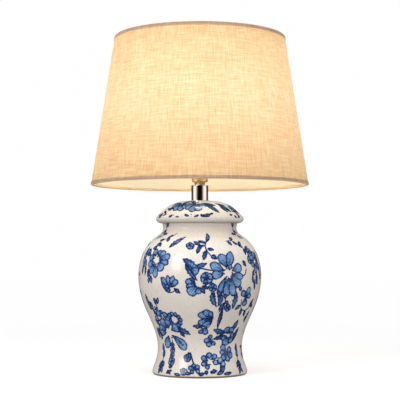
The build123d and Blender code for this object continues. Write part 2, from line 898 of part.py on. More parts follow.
def spokes():
    """Bent wires that carry the shade, flattened where they are welded on the fitter ring."""
    under = tube(fitter_radius + 1, 1, fitter_z, fitter_top_z)
    wires = [bar - under - wire_ring(top_wire_z) for bar in spoke_bars(spoke_diameter / 2)]
    return Compound(children=[max(wire.solids(), key=lambda solid: solid.volume) for wire in wires])


def top_trim():
    """The upper tape, slit where the spokes come through its inner leg."""
    strip = trim_strip(shade_top_z, -1)
    for bar in spoke_bars(spoke_diameter / 2 + spoke_slit_gap):
        strip -= bar
    return max(strip.solids(), key=lambda solid: solid.volume)


# ---- The lamp, piece by piece ------------------------------------------------------------
neck_bore = neck_tube_radius - neck_tube_wall - centring_gap
base_washer_z = floor_under_z - rubber_thickness - washer_thickness
lid_washer_z = lid_top_z + rubber_thickness

pieces = {
    "foot_felt": foot_felt(),
    "jar": jar(),
    "cord_grommet": cord_grommet(),
    "lid": lid(),
    "base_rubber_washer": tube(rubber_radius, bore_on_rod, floor_under_z - rubber_thickness, floor_under_z),
    "base_washer": tube(base_washer_radius, bore_on_rod, base_washer_z, base_washer_z + washer_thickness),
    "base_nut": hex_nut(base_washer_z - nut_height),
    "threaded_rod": threaded_rod(),
    "lid_rubber_washer": tube(neck_bore, bore_on_rod, lid_top_z, lid_washer_z),
    "lid_washer": tube(neck_bore, bore_on_rod, lid_washer_z, lid_washer_z + washer_thickness),
    "lid_nut": hex_nut(lid_washer_z + washer_thickness),
    "neck_tube": neck_tube(),
    "socket_cap": socket_cap(),
    "set_screw": set_screw(),
    "socket_shell": socket_shell(),
    "insulating_liner": insulating_liner(),
    "switch_body": switch_body(),
    "holder_body": holder_body(),
    "body_rivets": body_rivets(),
    "terminal_screws": terminal_screws(),
    "screw_shell": screw_shell(),
    "centre_contact": centre_contact(),
    "socket_skirt": socket_skirt(),
    "switch_shaft": switch_shaft(),
    "switch_knob": switch_knob(),
    "ring_washer": ring_washer(),
    "ring_nut": ring_nut(),
    "bulb_tip": bulb_tip(),
    "bulb_insulator": bulb_insulator(),
    "bulb_cap": bulb_cap(),
    "bulb_glass": bulb_glass(),
    "bulb_stem": bulb_stem(),
    "bulb_leads": bulb_leads(),
    "bulb_filament": bulb_filament(),
    "fitter_ring": fitter_ring(),
    "spokes": spokes(),
    "top_wire": wire_ring(top_wire_z),
    "bottom_wire": wire_ring(bottom_wire_z),
    "shade_backing": shade_backing(),
    "shade_linen": shade_linen(),
    "top_trim": top_trim(),
    "bottom_trim": trim_strip(shade_z, 1),
}

os.makedirs("parts", exist_ok=True)
for name, piece in pieces.items():
    export_step(piece, f"parts/{name}.step")
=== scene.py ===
"""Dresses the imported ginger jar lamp: painted glaze, lit linen shade, bright metal neck and studio light."""

import math

import bmesh
import bpy
import numpy as np
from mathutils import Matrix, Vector


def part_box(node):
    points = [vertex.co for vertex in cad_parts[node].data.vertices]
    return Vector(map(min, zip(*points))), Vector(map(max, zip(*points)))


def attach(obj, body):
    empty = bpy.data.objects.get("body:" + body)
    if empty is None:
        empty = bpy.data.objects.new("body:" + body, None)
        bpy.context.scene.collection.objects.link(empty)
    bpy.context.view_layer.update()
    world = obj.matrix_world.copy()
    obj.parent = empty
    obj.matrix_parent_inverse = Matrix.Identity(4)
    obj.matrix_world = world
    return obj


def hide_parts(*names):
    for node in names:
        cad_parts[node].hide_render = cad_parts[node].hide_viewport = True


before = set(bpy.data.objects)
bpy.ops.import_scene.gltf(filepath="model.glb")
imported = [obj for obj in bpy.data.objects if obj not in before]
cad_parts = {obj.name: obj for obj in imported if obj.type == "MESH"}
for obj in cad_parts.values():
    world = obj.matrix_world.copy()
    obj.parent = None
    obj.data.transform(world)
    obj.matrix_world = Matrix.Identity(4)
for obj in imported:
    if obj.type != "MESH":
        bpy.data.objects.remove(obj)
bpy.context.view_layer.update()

MM = 0.001

linen_low, linen_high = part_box("shade_linen")  # in metres, as all boxes are

# ---- The painting's brushwork, in millimetres ----
INK_HALF = 0.85  # half the width of a drawn outline
STROKE_HALF = 0.7  # the same for a stroke of the usual width
FAR = 4.0  # how far from a line its distance is still kept
REACH = 0.9  # how far past its end a stroke may run out
BROAD_PETAL = 8.5  # a petal that is wider than this has a vein
BROAD_LEAF = 5.5  # a leaf that is wider than this has a vein and teeth
STROKE_STEP = 1.5  # between the points of a brush stroke's line
PATTERN_TURN = 180.0  # the painted scene repeats after this many degrees

# ---- The ceramic skins: gaps between the outlines' points in metres, and steps round ----
CAD_GAP = 0.4 * MM  # the CAD's outline is thinned to this before it is smoothed
JAR_OUTSIDE, JAR_INSIDE, JAR_STEPS = 1.27 * MM, 2.2 * MM, 400
LID_OUTSIDE, LID_INSIDE, LID_STEPS = 1.2 * MM, 1.5 * MM, 320

# ---- The shade's layers, in metres ----
LINEN_DEPTH, LINEN_ROWS, LINEN_STEPS = 0.2 * MM, 60, 240  # under the linen solid's outer face
LINING_DEPTH, LINING_ROWS, LINING_STEPS = 0.95 * MM, 40, 180
TAPE_SKIN = 0.4 * MM
TAPE_LAP = 4.8 * MM  # how far a tape reaches over the linen's face
TAPE_FACE = ((1.0, 0.15), (0.97, 0.4), (0.6, 0.42), (0.3, 0.42))  # (share of the lap, mm proud)
TAPE_TURNS, TAPE_POINTS, TAPE_STEPS = (-0.1, 1.4), 11, 240  # half turns round the wire
TAPE_END = -1.35 * MM  # where it ends inside, from the linen's face

# ---- Threads and weave, in millimetres ----
BULB_PITCH, ROD_PITCH, SKIRT_PITCH = 3.629, 0.94, 2.5  # how far each thread rises in a turn
WEAVE_RADIUS = 147.0  # the cone's radius at which its weave has its true scale

# ---- Levels that a finish changes at, in millimetres on the lamp, as (from, to) ----
GLAZE_STARTS = (3.0, 3.7)  # bare clay below it
# Painted light: over these levels the glaze's body is painted paler and cooler on the shoulder, the flange and
# the lid's top, standing in for light falling on them from above.
SHOULDER_PAINTED_LIGHT, SHOULDER_PAINTED_LIGHT_ENDS = (150, 190), (200, 214)
FLANGE_PAINTED_LIGHT, LID_PAINTED_LIGHT = (227, 232), (234, 247)
# Painted shade: the linen's glow is painted dimmer and yellower away from the bulb's level, over this span.
BULB_LEVEL, LINEN_PAINTED_DIMMING = 400, (15, 110)  # the fading counts away from the bulb's level

# ---- Light: the shares that pass through the shade's layers, and the bulb's strength ----
LINEN_GLOW, LINING_GLOW, TAPE_GLOW = 0.82, 0.40, 0.35
BULB_STRENGTH = 49.0

# ---- The studio, in metres, watts and degrees ----
LIGHTS = (  # name, place, width and height, power, and whether polish mirrors it
    ("left_light", (-1.2, -1.2, 0.95), (0.6, 1.05), 16.5, True),
    ("front_light", (0.35, -1.5, 1.05), (1.4, 0.8), 7.0, False),
    ("right_light", (1.3, -1.2, 0.8), (0.8, 1.0), 5.0, False),
    ("low_light", (0.25, -1.9, 0.42), (1.5, 0.5), 1.5, False),
)
AIM = Vector((0, 0, 0.15))  # the point on the jar that every light is turned to
FLOOR_RADIUS = 6.0
EYE, TIPPED_UP = (0.0003, -1.7141, 0.1805), 2.7045
LENS, SENSOR = 101.8, 36.0  # in millimetres


# ---- Meshes ----
def finished(bm, name, body, finish, stands_for=(), smooth_below=35.0):
    """A scene object made of a bmesh, shaded smooth except over edges sharper than an angle."""
    limit = math.radians(smooth_below)
    for face in bm.faces:
        face.smooth = True
    for edge in bm.edges:
        edge.smooth = len(edge.link_faces) != 2 or edge.calc_face_angle(0.0) < limit
    mesh = bpy.data.meshes.new(name)
    bm.to_mesh(mesh)
    bm.free()
    mesh.materials.append(finish)
    piece = bpy.data.objects.new(name, mesh)
    bpy.context.scene.collection.objects.link(piece)
    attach(piece, body)
    if stands_for:
        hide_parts(*stands_for)
    return piece


def spun(points, steps, closed=True):
    """A bmesh of an outline, given as (radius, height) in metres, spun round the lamp's axis."""
    bm = bmesh.new()
    verts = [bm.verts.new((radius, 0.0, height)) for radius, height in points]
    pairs = list(zip(verts, verts[1:]))
    if closed:
        pairs.append((verts[-1], verts[0]))
    edges = [bm.edges.new(pair) for pair in pairs]
    turn = {"cent": (0, 0, 0), "axis": (0, 0, 1), "angle": 2 * math.pi}
    bmesh.ops.spin(bm, geom=verts + edges, steps=steps, use_merge=True, **turn)
    bmesh.ops.recalc_face_normals(bm, faces=bm.faces)
    return bm


def unmirrored(piece):
    """Keeps a glowing piece out of the glaze's and the metal's reflections, where it only veils them."""
    piece.visible_glossy = False
    return piece


def section(node):
    """A turned CAD node's outline as a closed run of (radius, height) points, in metres."""
    bm = bmesh.new()
    bm.from_mesh(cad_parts[node].data)
    bmesh.ops.remove_doubles(bm, verts=bm.verts, dist=1e-6)
    everything = bm.verts[:] + bm.edges[:] + bm.faces[:]
    plane = {"plane_co": (0, 0, 0), "plane_no": (0, 1, 0)}
    cut = bmesh.ops.bisect_plane(bm, geom=everything, dist=1e-6, **plane)["geom_cut"]
    edges = [e for e in cut if isinstance(e, bmesh.types.BMEdge) and all(v.co.x > 0 for v in e.verts)]
    nearby = {}
    for edge in edges:
        first, second = edge.verts
        nearby.setdefault(first, []).append(second)
        nearby.setdefault(second, []).append(first)
    start = min(nearby, key=lambda vert: (round(vert.co.z, 6), vert.co.x))
    walk = [start, nearby[start][0]]
    while len(walk) <= len(nearby):
        onward = [vert for vert in nearby[walk[-1]] if vert is not walk[-2]]
        if not onward or onward[0] is start:
            break
        walk.append(onward[0])
    outline = [(vert.co.x, vert.co.z) for vert in walk]
    bm.free()
    return outline


def thinned(points, gap):
    """The points of a run that lie at least a gap apart."""
    kept = [points[0]]
    for point in points[1:]:
        if math.dist(point, kept[-1]) >= gap:
            kept.append(point)
    return kept


def smooth_run(points, spacing):
    """A smooth curve through a run of points, divided evenly, with its first and last point kept."""
    points = np.array(points)
    run = np.concatenate([[0], np.cumsum(np.linalg.norm(np.diff(points, axis=0), axis=1))])
    slopes = np.gradient(points, run, axis=0)
    count = max(2, round(run[-1] / spacing) + 1)
    at = np.linspace(0, run[-1], count)
    i = np.clip(np.searchsorted(run, at, side="right") - 1, 0, len(points) - 2)
    step = run[i + 1] - run[i]
    t = (at - run[i]) / step
    t, step = t[:, None], step[:, None]
    blend = 2 * t**3 - 3 * t**2
    curve = (
        (blend + 1) * points[i]
        - blend * points[i + 1]
        + (t**3 - 2 * t**2 + t) * step * slopes[i]
        + (t**3 - t**2) * step * slopes[i + 1]
    )
    return [tuple(point) for point in curve]


# ---- Materials ----
class Nodes:
    """Short calls for the nodes of a material or of the surround."""

    def __init__(self, tree):
        self.tree = tree

    def set(self, node, **settings):
        """Feeds sockets by name, with underscores for blanks, from numbers, colours or other nodes."""
        for key, value in settings.items():
            self.feed(node.inputs[key.replace("_", " ")], value)

    def feed(self, socket, value):
        if isinstance(value, bpy.types.NodeSocket):
            self.tree.links.new(value, socket)
        elif isinstance(value, tuple) and len(value) == 3 and socket.type == "RGBA":
            socket.default_value = (*value, 1)
        else:
            socket.default_value = value

    def node(self, kind, *values, **settings):
        """A node with its kind's settings and with its first inputs fed in order."""
        node = self.tree.nodes.new(kind)
        for key, value in settings.items():
            setattr(node, key, value)
        for socket, value in zip(node.inputs, values):
            if value is not None:
                self.feed(socket, value)
        return node

    def sum(self, operation, *values):
        return self.node("ShaderNodeMath", *values, operation=operation).outputs[0]

    def vector(self, operation, *values):
        return self.node("ShaderNodeVectorMath", *values, operation=operation).outputs[0]

    def scaled(self, vector, factor):
        """A vector made longer or shorter."""
        node = self.node("ShaderNodeVectorMath", vector, operation="SCALE")
        node.inputs["Scale"].default_value = factor
        return node.outputs[0]

    def parts(self, vector):
        """A vector's X, Y and Z."""
        return self.node("ShaderNodeSeparateXYZ", vector).outputs

    def joined(self, x=None, y=None, z=None):
        """A vector of its parts, where a part left out is 0."""
        return self.node("ShaderNodeCombineXYZ", x, y, z).outputs[0]

    def length(self, vector):
        return self.node("ShaderNodeVectorMath", vector, operation="LENGTH").outputs["Value"]

    def ramp(self, value, *stops):
        """A colour by a value, from (place, colour) stops in order, the last of them at 1."""
        node = self.node("ShaderNodeValToRGB", value)
        elements = node.color_ramp.elements
        for element, (place, colour) in zip(elements, (stops[0], stops[-1])):
            element.position = place
            element.color = (*colour, 1)
        for place, colour in stops[1:-1]:
            elements.new(place).color = (*colour, 1)
        return node.outputs[0]

    def place(self, stretch=(1, 1, 1)):
        """The point on the object in millimetres, stretched for the grain of a pattern."""
        spot = self.node("ShaderNodeTexCoord").outputs["Object"]
        return self.vector("MULTIPLY", spot, tuple(s / MM for s in stretch))

    def height(self):
        """The height on the object in millimetres."""
        return self.parts(self.place())[2]

    def turn(self):
        """The angle round the lamp's axis, in turns."""
        x, y, _ = self.parts(self.place())
        return self.sum("DIVIDE", self.sum("ARCTAN2", y, x), 2 * math.pi)

    def noise(self, place, scale, detail=2.0, roughness=0.5):
        """Soft noise from 0 to 1, where scale is in features a millimetre."""
        node = self.node("ShaderNodeTexNoise")
        self.set(node, Vector=place, Scale=scale, Detail=detail, Roughness=roughness)
        return node.outputs["Fac"]

    def remap(self, value, low, high, to_low=0.0, to_high=1.0):
        """A value moved from one range to another, and clamped to it."""
        return self.node("ShaderNodeMapRange", value, low, high, to_low, to_high).outputs[0]

    def mix(self, share, first, second, blend="MIX"):
        """A blend of two colours."""
        node = self.node("ShaderNodeMix", data_type="RGBA", blend_type=blend)
        self.feed(node.inputs[0], share)
        self.feed(node.inputs[6], first)
        self.feed(node.inputs[7], second)
        return node.outputs[2]

    def attribute(self, name):
        return self.node("ShaderNodeAttribute", attribute_name=name).outputs["Fac"]

    def bump(self, height, depth, strength=1.0, onto=None):
        """A bump from a height of 0 to 1 that stands for a depth in millimetres."""
        node = self.node("ShaderNodeBump")
        self.set(node, Strength=strength, Distance=depth * MM, Height=height)
        if onto is not None:
            self.set(node, Normal=onto)
        return node.outputs["Normal"]


class Finish(Nodes):
    """A material under construction."""

    def __init__(self, name, **settings):
        self.material = bpy.data.materials.new(name)
        self.material.use_nodes = True
        super().__init__(self.material.node_tree)
        self.shader = self.tree.nodes["Principled BSDF"]
        self.output = self.tree.nodes["Material Output"]
        self.look(**settings)

    def look(self, **settings):
        """Feeds the shader's sockets by name."""
        self.set(self.shader, **settings)

    def glow_through(self, share, colour):
        """Lets light through the surface as well, softly spread, by a share and in a colour."""
        glow = self.node("ShaderNodeBsdfTranslucent")
        self.set(glow, Color=colour)
        both = self.node("ShaderNodeMixShader", share, self.shader.outputs[0], glow.outputs[0])
        self.tree.links.new(both.outputs[0], self.output.inputs[0])

    def dress(self, *nodes):
        """Gives CAD nodes this finish."""
        for node in nodes:
            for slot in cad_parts[node].material_slots:
                slot.material = self.material


def crazed_body(f, spot):
    """The cream body under its glaze: clouded, specked and crazed, and painted paler and cooler on the
    shoulder and the lid as painted light from above.
    """
    cloud = f.noise(spot, 0.035, 3)
    body = f.mix(cloud, (0.60, 0.535, 0.475), (0.70, 0.655, 0.60))
    grain = f.remap(f.noise(spot, 0.35, 4, 0.75), 0.38, 0.62)
    body = f.mix(f.sum("MULTIPLY", grain, 0.5), body, (0.57, 0.51, 0.45))
    level = f.height()
    # Painted light: the shoulder and the lid are painted paler and cooler, for light falling on them from
    # above.
    below_neck = f.remap(level, *SHOULDER_PAINTED_LIGHT_ENDS, 1, 0)
    shoulder = f.sum("MULTIPLY", f.remap(level, *SHOULDER_PAINTED_LIGHT, 0, 0.35), below_neck)
    lid = f.sum("MULTIPLY", f.remap(level, *FLANGE_PAINTED_LIGHT), f.remap(level, *LID_PAINTED_LIGHT, 0.45, 0.95))
    body = f.mix(f.sum("ADD", shoulder, lid), body, (0.76, 0.79, 0.83))
    speck = f.remap(f.noise(spot, 0.55, 3, 0.7), 0.66, 0.76)
    body = f.mix(f.sum("MULTIPLY", speck, 0.4), body, (0.40, 0.30, 0.22))
    drift = f.node("ShaderNodeTexNoise")
    f.set(drift, Vector=spot, Scale=0.12, Detail=2.0)
    crazing = f.node("ShaderNodeTexVoronoi", feature="DISTANCE_TO_EDGE")
    f.set(crazing, Vector=f.vector("ADD", spot, f.scaled(drift.outputs["Color"], 9)), Scale=0.16)
    crack = f.remap(crazing.outputs["Distance"], 0.0, 0.045, 0.3, 0.0)
    return f.mix(crack, body, (0.42, 0.33, 0.25))


def cobalt_painting(f, spot, body):
    """The painting over a body: washes inside the outlines, then the outlines and strokes in ink."""
    brush = f.noise(spot, 0.45, 3, 0.6)
    hand = f.sum("MULTIPLY_ADD", f.noise(spot, 0.65, 3, 0.6), 1.5, -0.75)
    edge = f.sum("ADD", f.attribute("paint_edge"), hand)
    pooled = f.remap(edge, INK_HALF, INK_HALF + 1.6, 0.30, 0.0)
    load = f.sum("ADD", f.attribute("paint_wash"), f.sum("MULTIPLY_ADD", brush, 1.2, -0.60))
    washes = ((0.0, (0.36, 0.44, 0.56)), (0.28, (0.18, 0.29, 0.47)))
    washes += ((0.6, (0.082, 0.175, 0.37)), (1.0, (0.006, 0.026, 0.12)))
    tint = f.ramp(f.sum("ADD", load, pooled), *washes)
    painted = f.mix(f.remap(edge, -0.25, 0.25), body, tint)
    swell = f.remap(f.noise(spot, 0.22, 1), 0.35, 0.65, -0.35, 0.3)
    beside = f.sum("SUBTRACT", f.sum("ABSOLUTE", edge), swell)
    outline = f.remap(beside, INK_HALF - 0.3, INK_HALF + 0.3, 1, 0)
    side = f.sum("ABSOLUTE", f.sum("ADD", f.attribute("stroke_side"), f.sum("MULTIPLY", hand, 0.6)))
    stroke = f.remap(side, STROKE_HALF - 0.22, STROKE_HALF + 0.22, 1, 0)
    near = f.remap(f.attribute("stroke_reach"), REACH - 0.3, REACH, 1, 0)
    ink = f.sum("MAXIMUM", outline, f.sum("MULTIPLY", stroke, near))
    cobalt = f.mix(f.remap(brush, 0.35, 0.6), (0.012, 0.043, 0.16), (0.002, 0.011, 0.060))
    return f.mix(ink, painted, cobalt)


def cream_glaze():
    """Clear, lightly crazed glaze over a cream body and its cobalt painting, with a bare clay foot."""
    f = Finish("cream_glaze", Specular_IOR_Level=0.0, Coat_Roughness=0.17)
    spot = f.place()
    painted = cobalt_painting(f, spot, crazed_body(f, spot))
    bare = f.remap(f.sum("MULTIPLY_ADD", f.noise(spot, 0.2), 1.2, f.height()), *GLAZE_STARTS, 1, 0)
    biscuit = f.mix(f.noise(spot, 0.6, 4), (0.20, 0.12, 0.07), (0.36, 0.25, 0.16))
    f.look(Base_Color=f.mix(bare, painted, biscuit))
    f.look(Roughness=f.remap(bare, 0, 1, 0.3, 0.85))
    f.look(Coat_Weight=f.remap(bare, 0, 1, 0.75, 0.0))
    ripple = f.bump(f.noise(spot, 0.06, 2), 0.5, 0.4)
    ripple = f.bump(f.noise(spot, 0.22, 2), 0.16, 0.6, ripple)
    f.look(Normal=f.bump(f.noise(spot, 0.6, 3), 0.05, 0.5, ripple))
    return f.material


def weave(f, thread_share, spread):
    """Linen round a cone: its threads as a noise, and its density with slubs, 0 thin to 1 thick."""
    x, y, z = f.parts(f.place())
    around = f.scaled(f.vector("NORMALIZE", f.joined(x, y)), WEAVE_RADIUS)
    up = f.vector("ADD", around, f.joined(z=f.sum("MULTIPLY", z, 0.06)))
    level = f.vector("ADD", f.scaled(around, 0.05), f.joined(z=z))

    def both_ways(*grain):
        return f.sum("MULTIPLY", f.sum("ADD", f.noise(up, *grain), f.noise(level, *grain)), 0.5)

    threads, slubs = both_ways(1.0, 1, 0.4), both_ways(0.50, 2, 0.6)
    mixed = f.sum("MULTIPLY_ADD", threads, thread_share, f.sum("MULTIPLY", slubs, 1 - thread_share))
    return threads, f.remap(mixed, 0.5 - spread, 0.5 + spread)


def lit_linen():
    """Slubby natural linen, lit through by the bulb behind it, with its glow painted dimmer and yellower away
    from the bulb's level.
    """
    f = Finish("lit_linen", Roughness=0.85, Sheen_Weight=0.15)
    threads, density = weave(f, 0.60, 0.10)
    f.look(Base_Color=f.mix(density, (0.66, 0.54, 0.40), (0.47, 0.36, 0.25)))
    f.look(Normal=f.bump(threads, 0.25, 0.5))
    lit = f.mix(density, (0.87, 0.80, 0.68), (0.80, 0.58, 0.39))
    # Painted shade: the glow dims and yellows with distance from the bulb's level.
    away = f.sum("ABSOLUTE", f.sum("SUBTRACT", f.height(), BULB_LEVEL))
    painted_dimming = f.remap(away, *LINEN_PAINTED_DIMMING, 0, 0.5)
    f.glow_through(LINEN_GLOW, f.mix(painted_dimming, lit, f.mix(1.0, lit, (0.95, 0.89, 0.74), "MULTIPLY")))
    return f.material


def lining_laminate():
    """The shade's stiff white lining, which spreads the bulb's light."""
    f = Finish("lining_laminate", Roughness=0.5)
    cloud = f.noise(f.place(), 0.05, 2)
    f.look(Base_Color=f.mix(cloud, (0.99, 0.96, 0.77), (0.97, 0.92, 0.73)))
    f.glow_through(LINING_GLOW, f.mix(cloud, (0.98, 0.95, 0.90), (0.96, 0.92, 0.86)))
    return f.material


def woven_tape():
    """The folded linen tape that binds the shade's edges, with its side towards the bulb painted a brighter
    orange as painted light from the bulb.
    """
    f = Finish("woven_tape", Roughness=0.9, Sheen_Weight=0.2)
    threads, density = weave(f, 0.5, 0.12)
    x, y, z = f.parts(f.place())
    lean = (shade_top_radius - linen_high.x) / (linen_high.z - linen_low.z)
    cone = f.sum("MULTIPLY_ADD", z, lean, (linen_high.x - lean * linen_low.z) / MM)
    # Painted light: the tape's inner side, which faces the bulb, is painted a brighter orange, standing in for
    # the bulb's light on it.
    inside = f.remap(f.sum("SUBTRACT", cone, f.length(f.joined(x, y))), 1.0, 2.0)
    outer = f.mix(density, (0.62, 0.47, 0.36), (0.42, 0.29, 0.20))
    f.look(Base_Color=f.mix(inside, outer, (0.95, 0.70, 0.38)))
    f.look(Normal=f.bump(threads, 0.25, 0.6))
    f.glow_through(TAPE_GLOW, f.mix(density, (0.90, 0.60, 0.32), (0.72, 0.42, 0.18)))
    return f.material


def metal(name, colour, worn, roughness, streak=(1, 1, 1)):
    """A metal with fine turned marks, and a little unevenness in its polish."""
    f = Finish(name, Metallic=1.0)
    marks = f.noise(f.place(streak), 2.2, 2, 0.6)
    cloud = f.noise(f.place(), 0.12, 3)
    f.look(Base_Color=f.mix(cloud, colour, worn))
    f.look(Roughness=f.remap(marks, 0.3, 0.7, roughness * 0.7, roughness * 1.4))
    f.look(Normal=f.bump(marks, 0.002, 0.1))
    return f


def threaded(f, pitch, depth):
    """Adds the bump of a right-hand screw thread round the lamp's axis."""
    phase = f.sum("SUBTRACT", f.sum("DIVIDE", f.height(), pitch), f.turn())
    wave = f.sum("PINGPONG", phase, 0.5)
    f.look(Normal=f.bump(f.remap(wave, 0.02, 0.48), depth, 1.0))
    return f


def plain(name, colour, worn, roughness, grain=0.4, depth=0.05, **settings):
    """A plain moulded, painted or pressed finish with a faint mottle and grain."""
    f = Finish(name, **settings)
    spot = f.place()
    mottle = f.noise(spot, grain * 0.2, 3)
    f.look(Base_Color=f.mix(mottle, colour, worn))
    fine = f.noise(spot, grain * 3, 3, 0.6)
    f.look(Roughness=f.remap(fine, 0.25, 0.75, roughness * 0.85, min(1.0, roughness * 1.15)))
    f.look(Normal=f.bump(fine, depth, 0.5))
    return f


def lit_bulb_glass():
    """Frosted glass with the burning filament behind it."""
    low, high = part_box("bulb_glass")
    f = Finish("lit_bulb_glass", Roughness=0.45, Emission_Strength=BULB_STRENGTH)
    frost = f.noise(f.place(), 0.08, 3)
    f.look(Base_Color=f.mix(frost, (0.95, 0.93, 0.88), (0.90, 0.87, 0.80)))
    middle = high.z - (high.x - low.x) / 2
    away = f.sum("ABSOLUTE", f.sum("SUBTRACT", f.height(), middle / MM))
    glow = f.remap(away, 5, 30, 1.0, 0.0)
    warm = f.mix(frost, (1.0, 0.91, 0.74), (1.0, 0.89, 0.70))
    f.look(Emission_Color=f.mix(glow, (0, 0, 0), warm))
    return f


def clear_glass():
    """The clear glass of the stem inside the bulb."""
    f = Finish("clear_glass", Base_Color=(0.93, 0.95, 0.94), Transmission_Weight=1.0, IOR=1.5)
    f.look(Roughness=f.remap(f.noise(f.place(), 0.3, 2), 0.3, 0.7, 0.02, 0.08))
    return f


# ---- The painted pattern ----
def petal_shape(length, width, swell=1.25, blunt=0.75, bend=0.0, teeth=0):
    """A petal along X from its foot: how late it swells, how blunt it ends, its bend and its teeth."""
    t = np.linspace(0, 1, 15 + 4 * teeth)
    half = width / 2 * np.sin(np.pi * t**swell).clip(0) ** blunt
    half = half * (1 - 0.3 * np.abs(np.sin(np.pi * teeth * t)))
    middle = bend * length * 4 * t * (1 - t)
    x = np.concatenate([t, t[-2:0:-1]]) * length
    y = np.concatenate([middle + half, (middle - half)[-2:0:-1]])
    return np.column_stack([x, y])


def smooth_stroke(points):
    """A brush stroke's line through a few points, in short steps."""
    if len(points) < 3:
        return np.array(points, float)
    return np.array(smooth_run(points, STROKE_STEP))


def to_lines(px, py, line):
    """How far points lie from a run of short lines, and on which side, as a signed distance."""
    ax, ay = line[:-1].T
    ex, ey = np.diff(line, axis=0).T
    wx, wy = px[:, None] - ax, py[:, None] - ay
    t = np.clip((wx * ex + wy * ey) / (ex**2 + ey**2 + 1e-9), 0, 1)
    gaps = np.hypot(wx - t * ex, wy - t * ey)
    nearest = gaps.argmin(axis=1)
    rows = np.arange(len(px))
    side = np.sign(ex[nearest] * wy[rows, nearest] - ey[nearest] * wx[rows, nearest])
    return gaps[rows, nearest], side


def inside_outline(px, py, outline):
    """How far points lie inside a closed outline, negative outside it."""
    ring = np.vstack([outline, outline[:1]])
    gap, _ = to_lines(px, py, ring)
    (ax, ay), (bx, by) = ring[:-1].T, ring[1:].T
    wx, wy = px[:, None] - ax, py[:, None] - ay
    rise = np.where(by == ay, 1e-9, by - ay)
    crossed = ((ay > py[:, None]) != (by > py[:, None])) & (wx < wy * (bx - ax) / rise)
    return np.where(crossed.sum(axis=1) % 2 == 1, gap, -gap)


class Painting:
    """The painting on a turned surface, kept as distances in millimetres at its vertices."""

    def __init__(self, piece, outline):
        """outline is the painted stretch of the surface, as (radius, height) in metres, going up."""
        self.mesh = piece.data
        spots = np.empty(len(self.mesh.vertices) * 3, np.float32)
        self.mesh.vertices.foreach_get("co", spots)
        x, y, z = spots.reshape(-1, 3).T / MM
        self.radius = np.hypot(x, y)
        self.turn = np.degrees(np.arctan2(x, -y))  # 0 at the front, and growing to the right
        radii, self.levels = np.array(outline).T / MM
        self.runs = np.concatenate([[0], np.cumsum(np.hypot(np.diff(radii), np.diff(self.levels)))])
        self.along = np.interp(z, self.levels, self.runs)
        self.on_face = self.radius > np.interp(z, self.levels, radii) - 1.0
        self.on_face &= z >= self.levels[0]
        self.edge = np.full(len(x), -FAR)
        self.wash = np.zeros(len(x))
        self.side = np.full(len(x), FAR)
        self.reach = np.full(len(x), FAR)
        self.hands = np.random.default_rng(7)

    def at(self, turn, level):
        """A place to paint a spray at: degrees round from the front, and millimetres up."""
        return Spray(self, turn, np.interp(level, self.levels, self.runs))

    def local(self, turn, along):
        """Every vertex as millimetres to the right of and above a place."""
        half = PATTERN_TURN / 2
        right = (self.turn - turn + half) % PATTERN_TURN - half
        return np.radians(right) * self.radius, self.along - along

    def store(self):
        """Keeps the distances on the mesh, for the glaze to draw."""
        rows = (("paint_edge", self.edge), ("paint_wash", self.wash))
        rows += (("stroke_side", self.side), ("stroke_reach", self.reach))
        for name, values in rows:
            layer = self.mesh.attributes.new(name, "FLOAT", "POINT")
            layer.data.foreach_set("value", values.astype(np.float32))


